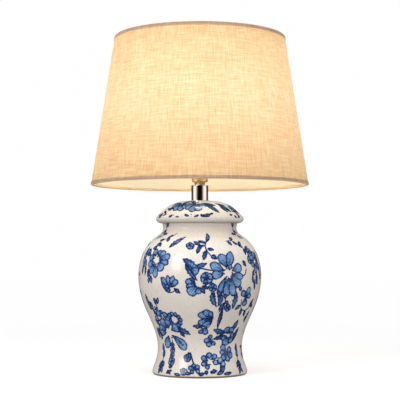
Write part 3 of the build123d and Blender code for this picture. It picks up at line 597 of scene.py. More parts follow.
class Spray:
    """One spray of the pattern. Its shapes are placed in millimetres from its centre, X to the
    right and Y up, and point in degrees from the right, anticlockwise."""

    def __init__(self, painting, turn, along):
        self.painting = painting
        self.x, self.y = painting.local(turn, along)

    def fill(self, outline, wash, streaks=0.0, axis=None):
        """Paints a closed shape: its outline in ink and a wash inside it, over what lies under it."""
        p = self.painting
        low, high = outline.min(axis=0) - FAR, outline.max(axis=0) + FAR
        close = (self.x > low[0]) & (self.x < high[0]) & (self.y > low[1]) & (self.y < high[1])
        close = np.flatnonzero(close & p.on_face)
        depth = inside_outline(self.x[close], self.y[close], outline).clip(-FAR, FAR)
        inked = depth > -INK_HALF
        beyond = ~inked & (p.edge[close] < 0)
        p.edge[close[inked]] = depth[inked]
        p.edge[close[beyond]] = np.maximum(p.edge[close[beyond]], depth[beyond])
        covered = close[depth > 0.3]
        p.side[covered] = FAR
        p.reach[covered] = FAR
        load = np.full(len(close), wash)
        if axis is not None:
            (x, y), direction, length = axis
            cos, sin = math.cos(direction), math.sin(direction)
            over = (self.x[close] - x) * cos + (self.y[close] - y) * sin
            across = -(self.x[close] - x) * sin + (self.y[close] - y) * cos
            load = load + 0.16 * np.cos(over / length * np.pi)
            load = load + streaks * np.sin(across * 1.9 / (0.45 + 0.8 * np.abs(over) / length))
        p.wash[close[inked]] = load[inked]

    def petal(self, start, direction, length, width, wash=None, bend=0.0, swell=1.65, blunt=0.6, teeth=0):
        """One petal from its foot."""
        if wash is None:
            wash = 0.40 + 0.16 * self.painting.hands.random()
        turn = math.radians(direction)
        shape = petal_shape(length, width, swell, blunt, bend, teeth)
        cos, sin = math.cos(turn), math.sin(turn)
        spin = np.array([[cos, sin], [-sin, cos]])
        self.fill(shape @ spin + np.array(start), wash, 0.14, (start, turn, length))
        if width > BROAD_PETAL and teeth == 0:
            self.vein(start, turn, 0.12 * length, 0.5 * length)

    def leaf(self, start, direction, length, width, bend=0.0, wash=None):
        """One pointed leaf from its foot, with its middle vein."""
        if wash is None:
            wash = 0.52 + 0.2 * self.painting.hands.random()
        teeth = round(length / 5.5) if width > BROAD_LEAF else 0
        self.petal(start, direction, length, width, wash, bend, 0.9, 0.85, teeth)
        if width > BROAD_LEAF:
            self.vein(start, math.radians(direction), 0.0, 0.75 * length)

    def petals(self, *placed):
        """Several petals, each as (x and y of its foot, direction, length, width)."""
        for x, y, *shape in placed:
            self.petal((x, y), *shape)

    def leaves(self, *placed):
        """Several leaves, each as (x and y of its foot, direction, length, width)."""
        for x, y, *shape in placed:
            self.leaf((x, y), *shape)

    def vein(self, start, turn, near, far, width=0.9):
        """A thin stroke along a petal or a leaf, between two distances from its foot."""
        cos, sin = math.cos(turn), math.sin(turn)
        ends = [(start[0] + reach * cos, start[1] + reach * sin) for reach in (near, far)]
        self.stem(*ends, width=width)

    def stem(self, *points, width=1.4):
        """A brush stroke through points."""
        p = self.painting
        line = smooth_stroke(points)
        low, high = line.min(axis=0) - FAR, line.max(axis=0) + FAR
        close = (self.x > low[0]) & (self.x < high[0]) & (self.y > low[1]) & (self.y < high[1])
        close = np.flatnonzero(close & p.on_face)
        gap, side = to_lines(self.x[close], self.y[close], line)
        reach = gap - width / 2
        nearer = reach < np.minimum(p.reach[close], FAR)
        p.reach[close[nearer]] = reach[nearer]
        p.side[close[nearer]] = (side * gap * 2 * STROKE_HALF / width)[nearer]

    def floret(self, centre, radius, petals=5, first=90.0):
        """A small round flower with a dark eye."""
        for i in range(petals):
            direction = first + 360.0 * i / petals
            self.petal(centre, direction, radius, 1.1 * radius)
        self.dots(centre, size=0.5 * radius)

    def daisy(self, centre, radius, petals):
        """A ring of narrow petals round a pale eye."""
        for i in range(petals):
            turn = 2 * math.pi * i / petals
            foot = (centre[0] + 0.42 * radius * math.cos(turn), centre[1] + 0.42 * radius * math.sin(turn))
            self.petal(foot, math.degrees(turn), 0.62 * radius, 0.46 * radius)

    def bloom(self, centre, inner, *petals, wash=None):
        """A large open flower: its petals, as (direction, outer radius, width), start at an inner radius."""
        for direction, outer, width in petals:
            turn = math.radians(direction)
            foot = (centre[0] + inner * math.cos(turn), centre[1] + inner * math.sin(turn))
            self.petal(foot, direction, outer - inner, width, wash)

    def dots(self, *centres, size=2.4):
        """Dark dots, such as round the heart of a flower."""
        for x, y in centres:
            self.stem((x - 0.1, y), (x + 0.1, y), width=size)


def great_bloom(p):
    """The open flower right of the front, with its fan of lower petals and its curved stem."""
    s = p.at(26, 153)
    s.stem((23, -5), (30, -4), (34, 4), width=2.1)
    s.leaf((28, 17), -50, 10, 6)
    s.petal((-3, -6), -110, 27, 9, bend=-0.06)
    s.petals((1, -7, -95, 28, 13), (4, -7, -76, 28, 12))
    s.bloom((0, 0), 7, (-41, 30, 13), (-15, 28, 10), (20, 26, 13), (108, 29, 14))
    s.petal((2, 7), 76, 26, 13, swell=1.1, blunt=0.85)
    s.bloom((0, 0), 6, (155, 29, 13), (-170, 25, 12))
    s.petal((2, 3), 66, 9, 6)
    s.dots((-5, 4), (-6, -2), (-2, -6), (5, -5), (7, 0), (-1, 6), size=2.2)


def climbing_twig(p):
    """The twig that climbs left of the great bloom towards the neck."""
    s = p.at(7, 189)
    s.stem((15, -17), (7, -14), (1, -7), (-2, 2), (0, 12), width=2.0)
    s.stem((-22, 4), (-12, 5), (-3, 3), width=1.5)
    s.petal((15, -18), 152, 10, 6, wash=0.8)
    s.leaf((0, 10), 82, 20, 5, bend=-0.1)
    s.leaves((0, 8, 158, 12, 4), (-9, 4, 140, 12, 5), (-9, 4, -112, 15, 6), (-1, -5, -108, 15, 7))
    s.leaves((1, -2, -12, 9, 4), (-4, 4, -150, 7, 3))
    s.floret((-24, 3), 6)


def scrolled_stem(p):
    """The stem that runs left from the great bloom to the big curled leaf and the half flower."""
    s = p.at(0, 152)
    s.stem((20, 4), (12, 5), (2, 7), (-8, 8), width=2.1)
    s.stem((17, -8), (21, -8), width=1.8)
    s.leaf((-6, 8), 22, 17, 7)
    s.leaf((-21, 13), -53, 29, 7, bend=-0.05)
    s.leaf((-25, 21), -40, 31, 11, bend=0.06)
    s.petal((-13, 6), -20, 12, 11, wash=0.5)
    s.floret((10, -7), 9, 6)
    s.dots((6, -7), (13, -5), size=2.4)
    s.bloom((-2, -15), 4, (168, 19, 9), (196, 18, 8), (228, 21, 15), (270, 15, 9))
    s.leaves((1, -20, -55, 11, 4), (4, -18, -25, 10, 4), (5, -15, 5, 8, 3), (-7, -11, 150, 9, 4))
    s.dots((-8, -12), (-7, -19), (-2, -22), size=2.2)


def hanging_leaves(p):
    """The leaves and the bud that hang below the scrolled stem."""
    s = p.at(13, 116)
    s.floret((-2, 16), 6)
    s.leaf((-3, 12), -86, 20, 8, bend=0.05)
    s.leaf((-3, 10), -70, 24, 8, bend=-0.1)
    s.leaf((5, 13), -78, 15, 7, bend=0.1)
    s.leaf((11, 8), -100, 20, 8, bend=0.08)
    s.stem((18, 0), (18, -8), (13, -16), (10, -21), width=1.8)
    s.leaves((18, -1, 95, 8, 4), (17, -7, -125, 14, 5), (18, -4, -40, 8, 4))
    s.floret((23, -15), 5.5, 4)
    s.leaf((15, -16), -99, 31, 6, wash=0.7)


def poppy(p):
    """The two-part flower below the front, with its small leaves."""
    s = p.at(8, 86)
    s.stem((8, 1), (6, -8), (0, -15), (-8, -15), width=1.6)
    s.petal((9, 1), 165, 24, 11, bend=-0.06)
    s.petals((9, 2, 143, 19, 10), (8, 2, 118, 11, 7))
    s.petal((8, 0), 196, 22, 10, bend=0.08)
    s.petal((8, -2), 214, 17, 8)
    s.dots((0, 4), (-3, -3), (4, -4), size=2.2)
    s.leaf((-7, -13), 172, 13, 7)
    s.petals((0, -14, -115, 11, 11), (-4, -18, -150, 8, 6))


def bell_flower(p):
    """The bell flower on the right with its leaves."""
    s = p.at(48, 113)
    s.stem((-6, 0), (-3, -12), (5, -17), (16, -14), (22, -5), width=1.7)
    s.leaf((-18, 11), -92, 24, 9)
    s.petals((2, 4, 140, 14, 9), (2, 5, 62, 15, 10), (1, 3, -80, 13, 11), (3, 4, 12, 11, 8))
    s.dots((-1, 6), (3, 0), size=2.2)
    s.leaves((-6, -8, -140, 10, 5), (0, -14, -95, 11, 5), (17, -12, 55, 15, 6), (9, -17, -80, 10, 5))
    s.leaves((-11, 14, 118, 8, 5), (20, -9, -15, 9, 5))


def right_vine(p):
    """The vine that falls along the right of the shoulder and the belly."""
    s = p.at(54, 178)
    s.stem((-30, 24), (-20, 25), (-12, 19), (-5, 11), (2, 5), width=2.0)
    s.stem((4, 2), (8, -10), (12, -24), (12, -38), width=1.6)
    s.leaves((-27, 24, -75, 8, 5), (-20, 26, 50, 9, 5), (-18, 24, -70, 8, 4), (-12, 19, -45, 10, 5))
    s.leaves((-10, 17, 45, 9, 4), (-4, 10, -95, 9, 5), (-1, 8, 40, 11, 5))
    s.floret((7, 5), 7)
    s.floret((3, -7), 7)
    s.bloom((16, -10), 3, (80, 16, 10), (20, 14, 9), (-35, 16, 9))
    s.bloom((16, -10), 3, (-90, 17, 10), (-150, 13, 8), (145, 14, 9))
    s.leaves((26, 6, -92, 18, 7), (29, -12, -86, 20, 7), (17, -27, -80, 16, 7), (9, -22, -112, 12, 6))
    s.leaves((3, -32, -60, 11, 5), (10, -38, -78, 14, 6), (15, -36, -50, 10, 5))


def left_rose(p):
    """The eight-petalled flower on the left shoulder, with its leaves and its twig."""
    s = p.at(-45, 171)
    s.stem((12, 50), (5, 40), (-6, 30), (-9, 20), (-6, 12), width=1.9)
    s.stem((-16, -8), (-13, -20), (-9, -31), width=1.6)
    s.leaves((9, 46, -140, 9, 5), (4, 39, -60, 9, 5), (-2, 34, 175, 9, 5), (-6, 29, -120, 10, 5))
    s.leaves((-6, 28, -50, 8, 4), (-8, 21, -160, 9, 5), (17, 20, 54, 26, 10))
    s.petal((21, 25), 52, 13, 3, wash=0.05)
    s.bloom((0, 0), 6, (70, 16, 10), (42, 19, 11), (14, 25, 11))
    s.bloom((0, 0), 6, (-12, 24, 8), (-45, 21, 13), (-88, 26, 11))
    s.bloom((0, 0), 6, (-118, 23, 10), (-155, 19, 10), (165, 18, 10), (118, 19, 10))
    s.dots((-5, 3), (-4, -4), (2, -6), (6, 2), (1, 5), size=2.4)
    s.leaves((-9, -23, -88, 11, 7), (-17, -14, -80, 14, 6), (-24, -8, -95, 15, 6), (-14, -26, -100, 8, 5))
    s.bloom((-26, 4), 3, (100, 14, 9), (160, 13, 8), (215, 14, 8), (265, 15, 9), (50, 11, 8))
    s.leaves((-31, 20, -100, 12, 6), (-22, 18, -80, 10, 5), (-34, -6, -92, 16, 6))


def violet(p):
    """The small flower under the left rose."""
    s = p.at(-30, 139)
    s.leaf((-12, 8), -68, 24, 5)
    s.stem((-6, -9), (-3, -13), (4, -15), (11, -12), width=1.7)
    s.petals((3, -8, 132, 20, 7), (3, -7, 103, 17, 7), (4, -7, 72, 17, 7), (5, -7, 44, 15, 8))
    s.petal((4, -8), 160, 9, 5)
    s.dots((3, -4), (0, -1), (7, -3), size=2.2)
    s.leaves((10, -9, -38, 11, 6), (2, -8, -110, 8, 5))


def lower_left_flower(p):
    """The broad flower on the lower left with a daisy, a tall sprig and a chain of blossom."""
    s = p.at(-41, 66)
    s.stem((3, -13), (3, -26), (2, -38), (2, -50), width=1.8)
    s.stem((-11, 42), (-10, 32), (-4, 22), width=2.0)
    s.stem((-16, 40), (-20, 38), (-10, 30), width=1.6)
    s.leaves((-11, 43, 105, 11, 5), (-9, 44, 65, 11, 5), (-11, 38, -150, 7, 4), (-8, 34, -40, 9, 5))
    s.floret((-27, 41), 6)
    s.leaf((-23, 35), -60, 12, 6)
    s.petals((-8, 22, 118, 13, 10), (-14, 16, 140, 12, 8), (0, 20, 82, 12, 9))
    s.daisy((16, 20), 12, 11)
    s.bloom((0, 0), 6, (158, 22, 13), (118, 23, 13), (84, 20, 11), (26, 21, 14), (188, 20, 9))
    s.petal((-3, -6), -112, 20, 13)
    s.petal((4, -5), -45, 30, 13, bend=0.05)
    s.petal((9, -9), -42, 17, 3, wash=0.05)
    s.dots((6, 4), (0, 7), (-6, 3), (3, -9), size=2.4)
    s.leaves((-26, 18, -40, 13, 6), (-30, 4, -75, 15, 6), (17, 7, -30, 20, 9), (20, 1, -58, 9, 6))
    for level, size in ((-20, 3.6), (-27, 4.4), (-35, 4.0), (-44, 6.0), (-51, 3.2)):
        s.floret((2, level), size, 4, first=45.0)


def lower_right_flower(p):
    """The cluster of flowers on the lower right."""
    s = p.at(37, 61)
    s.leaves((12, -9, 66, 22, 7), (9, 8, 70, 17, 8))
    s.bloom((2, 0), 3, (118, 14, 11), (65, 13, 10), (205, 13, 9))
    s.bloom((2, 0), 3, (252, 16, 12), (305, 14, 9), (0, 11, 8))
    s.dots((-2, 4), (5, -3), size=2.2)
    s.leaves((-6, 3, 160, 20, 9), (-7, -1, 196, 15, 7))
    s.stem((-14, -2), (-19, -3), (-25, -7), width=1.7)
    s.bloom((-25, -7), 1, (115, 9, 6), (180, 11, 7), (245, 10, 8), (310, 9, 6))
    s.bloom((1, -26), 1, (128, 15, 9), (172, 12, 7), (228, 13, 9))
    s.bloom((1, -26), 1, (280, 13, 8), (332, 13, 9), (40, 11, 8))
    s.dots((1, -25), (-3, -23), size=2.6)


def foot_flowers(p):
    """The low border of flowers at the front of the foot."""
    s = p.at(5, 17)
    s.stem((-19, 19), (-16, 8), (-13, -3), width=2.4)
    s.floret((-24, 12), 5.5)
    s.leaf((-22, 20), -70, 8, 4)
    s.floret((-30, -8), 5.5)
    s.bloom((-14, -4), 1, (100, 8, 6), (35, 9, 6), (-30, 9, 6), (165, 9, 6), (230, 8, 6))
    s.leaves((-20, -11, 175, 9, 4), (-36, -13, 175, 9, 4), (-8, -12, 10, 9, 4))
    s.bloom((9, 7), 4, (95, 13, 8), (45, 14, 8), (150, 14, 8), (200, 13, 7), (-5, 11, 6), (245, 12, 6))
    s.dots((5, 8), (11, 10), (9, 3), size=2.2)
    s.bloom((23, 1), 2, (75, 12, 8), (15, 11, 8), (-40, 11, 8), (140, 10, 7), wash=0.2)
    s.leaves((9, -9, 10, 11, 5), (4, -6, -100, 6, 4), (14, -4, -75, 7, 4), (19, -12, 20, 12, 5))
    s.leaves((31, -12, 5, 13, 4), (25, -7, 55, 8, 4))


def side_sprigs(p):
    """The upright sprigs that stand at both sides of the foot, and the loose leaves above them."""
    for turn in (-57, 58):
        s = p.at(turn, 15)
        s.stem((1, 14), (1, 2), (0, -10), width=1.7)
        s.leaves((1, 13, 80, 9, 4), (1, 8, -125, 12, 6), (1, 8, -55, 10, 5), (0, 0, -105, 12, 6))
        s.leaves((1, 0, -60, 11, 5), (-2, 33, -80, 13, 6), (2, 24, -105, 10, 5))
    s = p.at(-40, 8)
    s.leaves((-5, -2, 25, 11, 4), (-3, 2, -40, 8, 3))
    s = p.at(-64, 121)
    s.leaf((0, 0), -80, 22, 8)
    s = p.at(-62, 66)
    s.leaves((0, 6, -75, 16, 6), (4, -4, -95, 9, 5))
    s = p.at(64, 88)
    s.leaves((0, 8, -100, 14, 6), (-5, 0, -70, 11, 5))


def neck_sprigs(p):
    """The small sprigs on the neck, left and right of the front."""
    for turn, side in ((-62, -1), (62, 1)):
        s = p.at(turn, 212)
        s.stem((2 * side, 12), (0, 2), (-2 * side, -12), width=1.9)
        s.leaves((1, 9, 90 + 40 * side, 10, 5), (0, 3, 90 - 120 * side, 10, 5))
        s.leaves((-1, -3, 90 + 100 * side, 11, 6), (-2, -8, 90 - 140 * side, 10, 5))


def back_fillers(p):
    """The sprays that close the wide gaps at the sides, between the front scene and its repeat."""
    s = p.at(88, 56)
    s.stem((-8, -22), (-2, -8), (0, 8), (-4, 22), width=1.9)
    s.leaves((-1, -6, 20, 14, 7), (0, 4, 160, 15, 7), (-2, 14, 30, 13, 6), (-4, 21, 110, 14, 6))
    s.leaves((-6, -16, 170, 13, 6), (-5, -14, 35, 11, 5))
    s.floret((-8, -25), 7)
    s = p.at(91, 108)
    s.stem((0, 0), (8, 12), (7, 26), (-2, 36), width=1.9)
    s.leaves((7, 12, 20, 15, 8), (8, 22, 155, 14, 7), (5, 29, 40, 13, 6), (2, 6, 175, 14, 7))
    s.bloom((-2, -4), 4, (90, 19, 12), (30, 20, 13), (-30, 19, 12))
    s.bloom((-2, -4), 4, (-90, 20, 13), (-150, 19, 12), (150, 20, 13))
    s.dots((-5, 0), (2, 0), (2, -7), (-6, -7), size=2.2)
    s = p.at(88, 158)
    s.bloom((0, 0), 3, (60, 16, 11), (125, 17, 11), (190, 16, 11))
    s.bloom((0, 0), 3, (250, 17, 11), (-45, 16, 11), (5, 15, 9))
    s.dots((-3, 2), (3, 1), (0, -4), size=2.2)
    s.leaves((-6, 15, 120, 17, 7), (7, 14, 50, 15, 7), (16, -6, -20, 12, 6), (-15, -8, 215, 13, 6))
    s = p.at(92, 205)
    s.stem((8, -14), (2, -4), (-4, 8), width=1.8)
    s.leaves((7, -12, -30, 13, 6), (2, -4, 175, 14, 6), (0, 1, 45, 13, 6), (-4, 7, 120, 11, 5))


def lid_flowers(p):
    """The two half flowers and the long leaves round the top of the lid."""
    s = p.at(-22, 250)
    s.leaves((-30, -9, 62, 17, 7), (-25, -1, 15, 12, 6), (-36, -14, 150, 9, 4), (-27, -7, 165, 11, 5))
    s.bloom((-11, 10), 2, (182, 19, 10), (212, 21, 11), (244, 22, 11), wash=0.5)
    s.bloom((-11, 10), 2, (277, 21, 11), (308, 19, 10), wash=0.5)
    s.bloom((12, 9), 2, (205, 17, 10), (235, 20, 11), (265, 22, 12), wash=0.5)
    s.bloom((12, 9), 2, (296, 22, 11), (326, 20, 11), wash=0.5)
    s.dots((-14, 4), (-8, 3), (9, 3), (15, 3), size=2.8)
    s.bloom((1, 14), 1, (190, 12, 8), (350, 12, 8), (140, 10, 8), (40, 10, 8), wash=0.7)
    s = p.at(28, 246)
    s.leaves((-17, 18, -30, 20, 6), (-15, 12, -52, 25, 9), (3, 15, -25, 18, 6), (8, 9, -60, 18, 8))
    s.leaf((15, 5), -48, 14, 6)
    s.bloom((34, 4), 1, (100, 9, 7), (30, 9, 7), (-40, 11, 8), (-110, 10, 7), (175, 9, 7))
    s.leaves((37, -4, -75, 11, 5), (43, 0, -50, 10, 5))
    s = p.at(78, 247)
    s.bloom((0, 0), 1, (90, 10, 7), (160, 11, 8), (230, 12, 8), (300, 12, 8), (10, 11, 8))


def lid_border(p):
    """The broken line of small strokes above the lid's flange."""
    s = p.at(-15, 236)
    s.leaves((-33, -3, 40, 8, 3), (-20, -2, -15, 7, 3), (-6, 2, -25, 7, 3), (9, -3, 30, 7, 3))
    s.leaves((18, 2, -40, 6, 3), (31, 2, 30, 6, 3))
    s.floret((27, -1), 4.5)
    s.dots((-25, 1), (-10, -3), (4, 2), (5, -3), size=2.0)
    s = p.at(-66, 237)
    s.floret((0, 0), 5)
    s.leaves((8, 0, 20, 8, 3), (-8, 1, 160, 8, 3))
    s = p.at(52, 236)
    s.leaves((0, 0, -30, 7, 3), (9, -2, 15, 7, 3), (-9, 1, 20, 6, 3))


JAR_SPRAYS = (great_bloom, climbing_twig, scrolled_stem, hanging_leaves, poppy, bell_flower, right_vine)
JAR_SPRAYS += (left_rose, violet, lower_left_flower, lower_right_flower, foot_flowers, side_sprigs)
JAR_SPRAYS += (neck_sprigs, back_fillers)
LID_SPRAYS = (lid_flowers, lid_border)


# ---- The jar and its lid ----
def outer_run(outline, start, mouth):
    """Splits a closed outline: what runs up outside from a start to the mouth's level, and the rest."""
    turned = outline[start:] + outline[:start]
    (radius, level), (next_radius, next_level) = turned[:2]
    flat = abs(next_level - level) < 1e-5
    if next_radius < radius if flat else next_level < level:
        turned = [turned[0]] + turned[:0:-1]
    top = next(i for i, point in enumerate(turned) if point[1] >= mouth - 1e-6)
    return turned[: top + 1], turned[top + 1 :]


def painted(piece, outline, sprays):
    """Paints sprays on a skin, whose outline is given where it can carry them."""
    painting = Painting(piece, outline)
    for spray in sprays:
        spray(painting)
    painting.store()


def painted_jar(finish):
    """The jar's closed skin, finely divided outside so that it can carry the painting."""
    outline = section("jar")
    lowest = min(range(len(outline)), key=lambda i: (round(outline[i][1], 5), -outline[i][0]))
    outer, inner = outer_run(outline, lowest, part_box("jar")[1].z)
    outside = smooth_run(thinned(outer, CAD_GAP), JAR_OUTSIDE)
    bm = spun(outside + thinned(inner, JAR_INSIDE), JAR_STEPS)
    open_cord_hole(bm)
    painted(finished(bm, "painted_jar", "lamp", finish, ["jar"]), outside, JAR_SPRAYS)


def open_cord_hole(bm):
    """Opens the cord's way out through the back of the foot, behind the grommet's flange."""
    low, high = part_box("cord_grommet")
    centre = (low + high) / 2
    radius = (high.z - low.z) / 2 - 1.0 * MM
    for vert in bm.verts:
        reach = math.hypot(vert.co.x - centre.x, vert.co.z - centre.z)
        near_wall = low.y - 2 * MM < vert.co.y
        vert.tag = near_wall and reach < radius
    faces = [face for face in bm.faces if any(vert.tag for vert in face.verts)]
    bmesh.ops.delete(bm, geom=faces, context="FACES")
    rims = [edge for edge in bm.edges if edge.is_boundary]
    bmesh.ops.bridge_loops(bm, edges=rims)


def painted_lid(finish):
    """The lid's closed skin, with its painting."""
    outline = section("lid")
    widest = max(range(len(outline)), key=lambda i: outline[i][0])
    outer, inner = outer_run(outline, widest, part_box("lid")[1].z)
    outside = smooth_run(thinned(outer, CAD_GAP), LID_OUTSIDE)
    bm = spun(outside + thinned(inner, LID_INSIDE), LID_STEPS)
    painted(finished(bm, "painted_lid", "lamp", finish, ["lid"]), outside, LID_SPRAYS)


# ---- The shade ----
def cone_radius(height):
    """The linen's outer radius at a height, from its two rims."""
    share = (height - linen_low.z) / (linen_high.z - linen_low.z)
    return linen_high.x + share * (shade_top_radius - linen_high.x)


def measured_top_radius():
    """The linen's outer radius at its upper edge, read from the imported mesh."""
    top = [v.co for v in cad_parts["shade_linen"].data.vertices if v.co.z > linen_high.z - 1e-5]
    return max(math.hypot(co.x, co.y) for co in top)


shade_top_radius = measured_top_radius()


def cone_shell(depth, rows, steps):
    """A single skin that lies a depth under the linen solid's outer face."""
    heights = np.linspace(linen_low.z, linen_high.z, rows)
    return spun([(cone_radius(z) - depth, z) for z in heights], steps, closed=False)


def shade_cloth(finish):
    """The linen, stretched over the lining as one cone. Its flat cut is a sector of a ring."""
    bm = cone_shell(LINEN_DEPTH, LINEN_ROWS, LINEN_STEPS)
    cloth = unmirrored(finished(bm, "linen_cloth", "shade", finish, ["shade_linen"]))


def shade_lining(finish):
    """The stiff white lining behind the linen."""
    bm = cone_shell(LINING_DEPTH, LINING_ROWS, LINING_STEPS)
    unmirrored(finished(bm, "white_lining", "shade", finish, ["shade_backing"]))


def edge_tape(name, node, wire, rim_z, up, finish):
    """A tape folded round a rim wire: up is 1 at the lower edge and -1 at the upper one."""
    wire_low, wire_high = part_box(wire)
    thick = (wire_high.z - wire_low.z) / 2
    wire_out, wire_z = wire_high.x - thick, (wire_low.z + wire_high.z) / 2
    across = thick + TAPE_SKIN / 2 + 0.1 * MM

    def beside(rise, proud):
        level = rim_z + up * rise
        return (cone_radius(level) + proud, level)

    outline = [beside(TAPE_LAP * share, proud * MM) for share, proud in TAPE_FACE]
    for turn in np.linspace(*TAPE_TURNS, TAPE_POINTS) * math.pi:
        outline.append((wire_out + across * math.cos(turn), wire_z - up * across * math.sin(turn)))
    outline.append(beside(abs(wire_z - rim_z) + across + 0.3 * MM, TAPE_END))
    bm = spun(outline, TAPE_STEPS, closed=False)
    bmesh.ops.solidify(bm, geom=bm.faces[:], thickness=TAPE_SKIN)
    tape = unmirrored(finished(bm, name, "shade", finish, [node], smooth_below=60))
    points = np.array(outline)
    run = np.linalg.norm(np.diff(points, axis=0), axis=1).sum()


# ---- The foot's felt ----
def felt_ring(finish):
    """The ring of felt under the foot, with soft edges."""
    felt_low, felt_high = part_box("foot_felt")
    outer = felt_high.x
    inner = min(math.hypot(v.co.x, v.co.y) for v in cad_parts["foot_felt"].data.vertices)
    low, high, soft = felt_low.z, felt_high.z, 0.35 * MM
    outline = [(inner, low + soft), (inner + soft, low), (outer - soft, low), (outer, low + soft)]
    outline += [(outer, high - soft / 2), (outer - soft, high)]
    outline += [(inner + soft, high), (inner, high - soft / 2)]
    piece = finished(spun(outline, 180), "felt_ring", "lamp", finish, ["foot_felt"], 60)


# ---- Dressing the CAD nodes ----
PHENOLIC = (0.022, 0.019, 0.017), (0.034, 0.029, 0.025), 0.34  # clean colour, worn colour, roughness
STEEL = (0.60, 0.60, 0.58), (0.50, 0.50, 0.49)  # clean colour, worn colour


def dress_hardware():
    """Metal, rubber, plastic and glass for every piece that keeps its CAD shape."""
    nickel = metal("polished_nickel", (0.84, 0.77, 0.71), (0.78, 0.70, 0.64), 0.06, (1, 1, 0.06))
    nickel.dress("neck_tube")
    # Painted reflection: the socket's nickel cap and shell are given an orange colour that stands in for the
    # lit shade's inside mirrored in them.
    warm = metal("nickel_painted_warm_reflection", (1.0, 0.68, 0.34), (0.97, 0.60, 0.27), 0.15, (1, 1, 0.06))
    warm.look(Metallic=0.5)
    warm.dress("socket_cap", "socket_shell")
    cap = metal("bulb_cap_nickel", (0.78, 0.76, 0.72), (0.70, 0.68, 0.64), 0.2, (0.06, 0.06, 1))
    threaded(cap, BULB_PITCH, 0.8).dress("bulb_cap")
    zinc = metal("zinc_steel", *STEEL, 0.32)
    zinc.dress("base_washer", "base_nut", "lid_washer", "lid_nut", "set_screw")
    zinc.dress("ring_washer", "bulb_leads")
    threaded(metal("threaded_steel", *STEEL, 0.3), ROD_PITCH, 0.5).dress("threaded_rod")
    brass = metal("satin_brass", (0.78, 0.58, 0.28), (0.66, 0.47, 0.22), 0.28)
    brass.dress("body_rivets", "terminal_screws", "centre_contact")
    shell = metal("screw_shell_brass", (0.80, 0.60, 0.29), (0.68, 0.49, 0.22), 0.25)
    threaded(shell, BULB_PITCH, 0.8).dress("screw_shell")
    metal("solder", (0.58, 0.58, 0.60), (0.47, 0.47, 0.50), 0.4).dress("bulb_tip")
    metal("tungsten", (0.32, 0.31, 0.30), (0.25, 0.24, 0.24), 0.45).dress("bulb_filament")
    phenolic = plain("moulded_phenolic", *PHENOLIC)
    phenolic.dress("switch_body", "holder_body", "switch_shaft", "switch_knob", "ring_nut")
    threaded(plain("threaded_phenolic", *PHENOLIC), SKIRT_PITCH, 0.8).dress("socket_skirt")
    rubber = plain("black_rubber", (0.020, 0.020, 0.021), (0.030, 0.030, 0.030), 0.7, depth=0.08)
    rubber.dress("cord_grommet", "base_rubber_washer", "lid_rubber_washer")
    fibre = plain("waxed_fibre", (0.24, 0.18, 0.12), (0.32, 0.25, 0.17), 0.75, depth=0.08)
    fibre.dress("insulating_liner")
    enamel = plain("white_enamel", (0.80, 0.78, 0.74), (0.72, 0.70, 0.66), 0.3, depth=0.03)
    enamel.dress("fitter_ring", "spokes", "top_wire", "bottom_wire")
    for wire in ("top_wire", "bottom_wire"):
        unmirrored(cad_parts[wire])
    glass = plain("black_glass", (0.012, 0.012, 0.014), (0.020, 0.020, 0.023), 0.12, depth=0.01)
    glass.dress("bulb_insulator")
    lit_bulb_glass().dress("bulb_glass")
    clear_glass().dress("bulb_stem")


# ---- Floor, light and camera ----
def white_floor():
    """A round floor of white paper, which turns into the plain white surround further out."""
    bm = bmesh.new()
    bmesh.ops.create_circle(bm, cap_ends=True, segments=96, radius=FLOOR_RADIUS)
    mesh = bpy.data.meshes.new("floor")
    bm.to_mesh(mesh)
    bm.free()
    floor = bpy.data.objects.new("floor", mesh)
    bpy.context.scene.collection.objects.link(floor)
    paper = Finish("white_paper", Roughness=0.9, Specular_IOR_Level=0.1)
    far = paper.remap(paper.length(paper.place()), 350, 1300)
    paper.look(Base_Color=paper.mix(far, (0.45, 0.45, 0.45), (0, 0, 0)))
    glow = paper.remap(far, 0, 1, 0.53, 0.985)
    paper.look(Emission_Color=(1, 1, 1), Emission_Strength=glow)
    mesh.materials.append(paper.material)
    floor.visible_diffuse = False
    floor.visible_glossy = False


def soft_light(name, place, size, power, mirrored):
    """A rectangular soft light, aimed at the jar."""
    light = bpy.data.lights.new(name, "AREA")
    light.shape = "RECTANGLE"
    light.size, light.size_y = size
    light.energy = power
    light.color = (0.99, 0.99, 1.0)
    box = bpy.data.objects.new(name, light)
    box.location = place
    box.rotation_euler = (AIM - box.location).to_track_quat("-Z", "Y").to_euler()
    box.visible_glossy = mirrored
    bpy.context.scene.collection.objects.link(box)


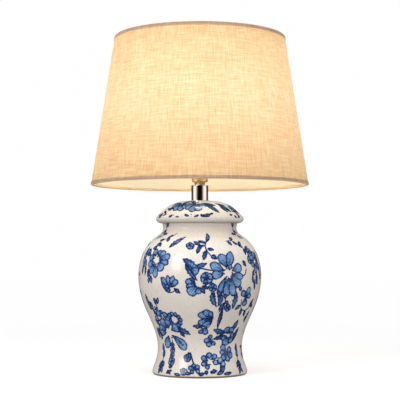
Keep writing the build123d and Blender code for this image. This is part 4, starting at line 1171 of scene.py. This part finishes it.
def surround():
    """White to look at, dimmer near the horizon for soft light, and with dark flags for polish."""
    world = bpy.data.worlds.new("surround")
    world.use_nodes = True
    bpy.context.scene.world = world
    sky = Nodes(world.node_tree)
    ambient = sky.tree.nodes["Background"]
    direction = sky.node("ShaderNodeTexCoord").outputs["Generated"]
    height = sky.parts(direction)[2]
    above = sky.remap(height, 0.0, 0.5, 0.42, 0.95)
    below = sky.remap(height, 0.0, -0.4, 0.0, 0.22)
    sky.set(ambient, Color=(0.99, 0.99, 0.99), Strength=sky.sum("ADD", above, below))

    level = sky.vector("NORMALIZE", sky.vector("MULTIPLY", direction, (1, 1, 0)))
    back = sky.sum("MULTIPLY_ADD", sky.parts(level)[1], -0.5, 0.5)
    tones = ((0.24, 0.03), (0.34, 0.10), (0.43, 0.9), (0.62, 1.5), (0.79, 1.1), (0.88, 0.35), (0.94, 0.02))
    stops = [(place, (bright, bright * 0.94, bright * 0.88)) for place, bright in tones]
    bands = sky.ramp(back, (0.0, (0.16, 0.09, 0.05)), *stops, (1.0, (0.004, 0.002, 0.001)))
    flags = sky.node("ShaderNodeBackground")
    off_level = sky.remap(sky.sum("ABSOLUTE", height), 0.07, 0.15)
    sky.set(flags, Color=sky.mix(off_level, bands, (0.12, 0.12, 0.12)))

    backdrop = sky.node("ShaderNodeBackground")
    sky.set(backdrop, Color=(0.995, 0.995, 0.995))
    rays = sky.node("ShaderNodeLightPath").outputs
    seen = sky.node("ShaderNodeMixShader", rays["Is Camera Ray"], ambient.outputs[0], backdrop.outputs[0])
    polish = sky.node("ShaderNodeMixShader", rays["Is Glossy Ray"], seen.outputs[0], flags.outputs[0])
    sky.tree.links.new(polish.outputs[0], sky.tree.nodes["World Output"].inputs[0])


def camera():
    """The photograph's view: level with the jar's belly and tipped up a little."""
    lens = bpy.data.cameras.new("camera")
    lens.lens = LENS
    lens.sensor_width = SENSOR
    lens.clip_start = 0.05
    lens.clip_end = 100.0
    eye = bpy.data.objects.new("camera", lens)
    eye.location = EYE
    eye.rotation_euler = (math.radians(90 + TIPPED_UP), 0, 0)
    bpy.context.scene.collection.objects.link(eye)
    bpy.context.scene.camera = eye
    bpy.context.scene.view_settings.view_transform = "Standard"


camera()
white_floor()
for light in LIGHTS:
    soft_light(*light)
surround()
glaze = cream_glaze()
painted_jar(glaze)
painted_lid(glaze)
shade_cloth(lit_linen())
shade_lining(lining_laminate())
tape = woven_tape()
edge_tape("bottom_tape", "bottom_trim", "bottom_wire", linen_low.z, 1, tape)
edge_tape("top_tape", "top_trim", "top_wire", linen_high.z, -1, tape)
felt = plain("wool_felt", (0.10, 0.075, 0.055), (0.15, 0.115, 0.085), 0.95, 0.8, 0.25, Sheen_Weight=0.4)
felt_ring(felt.material)
dress_hardware()
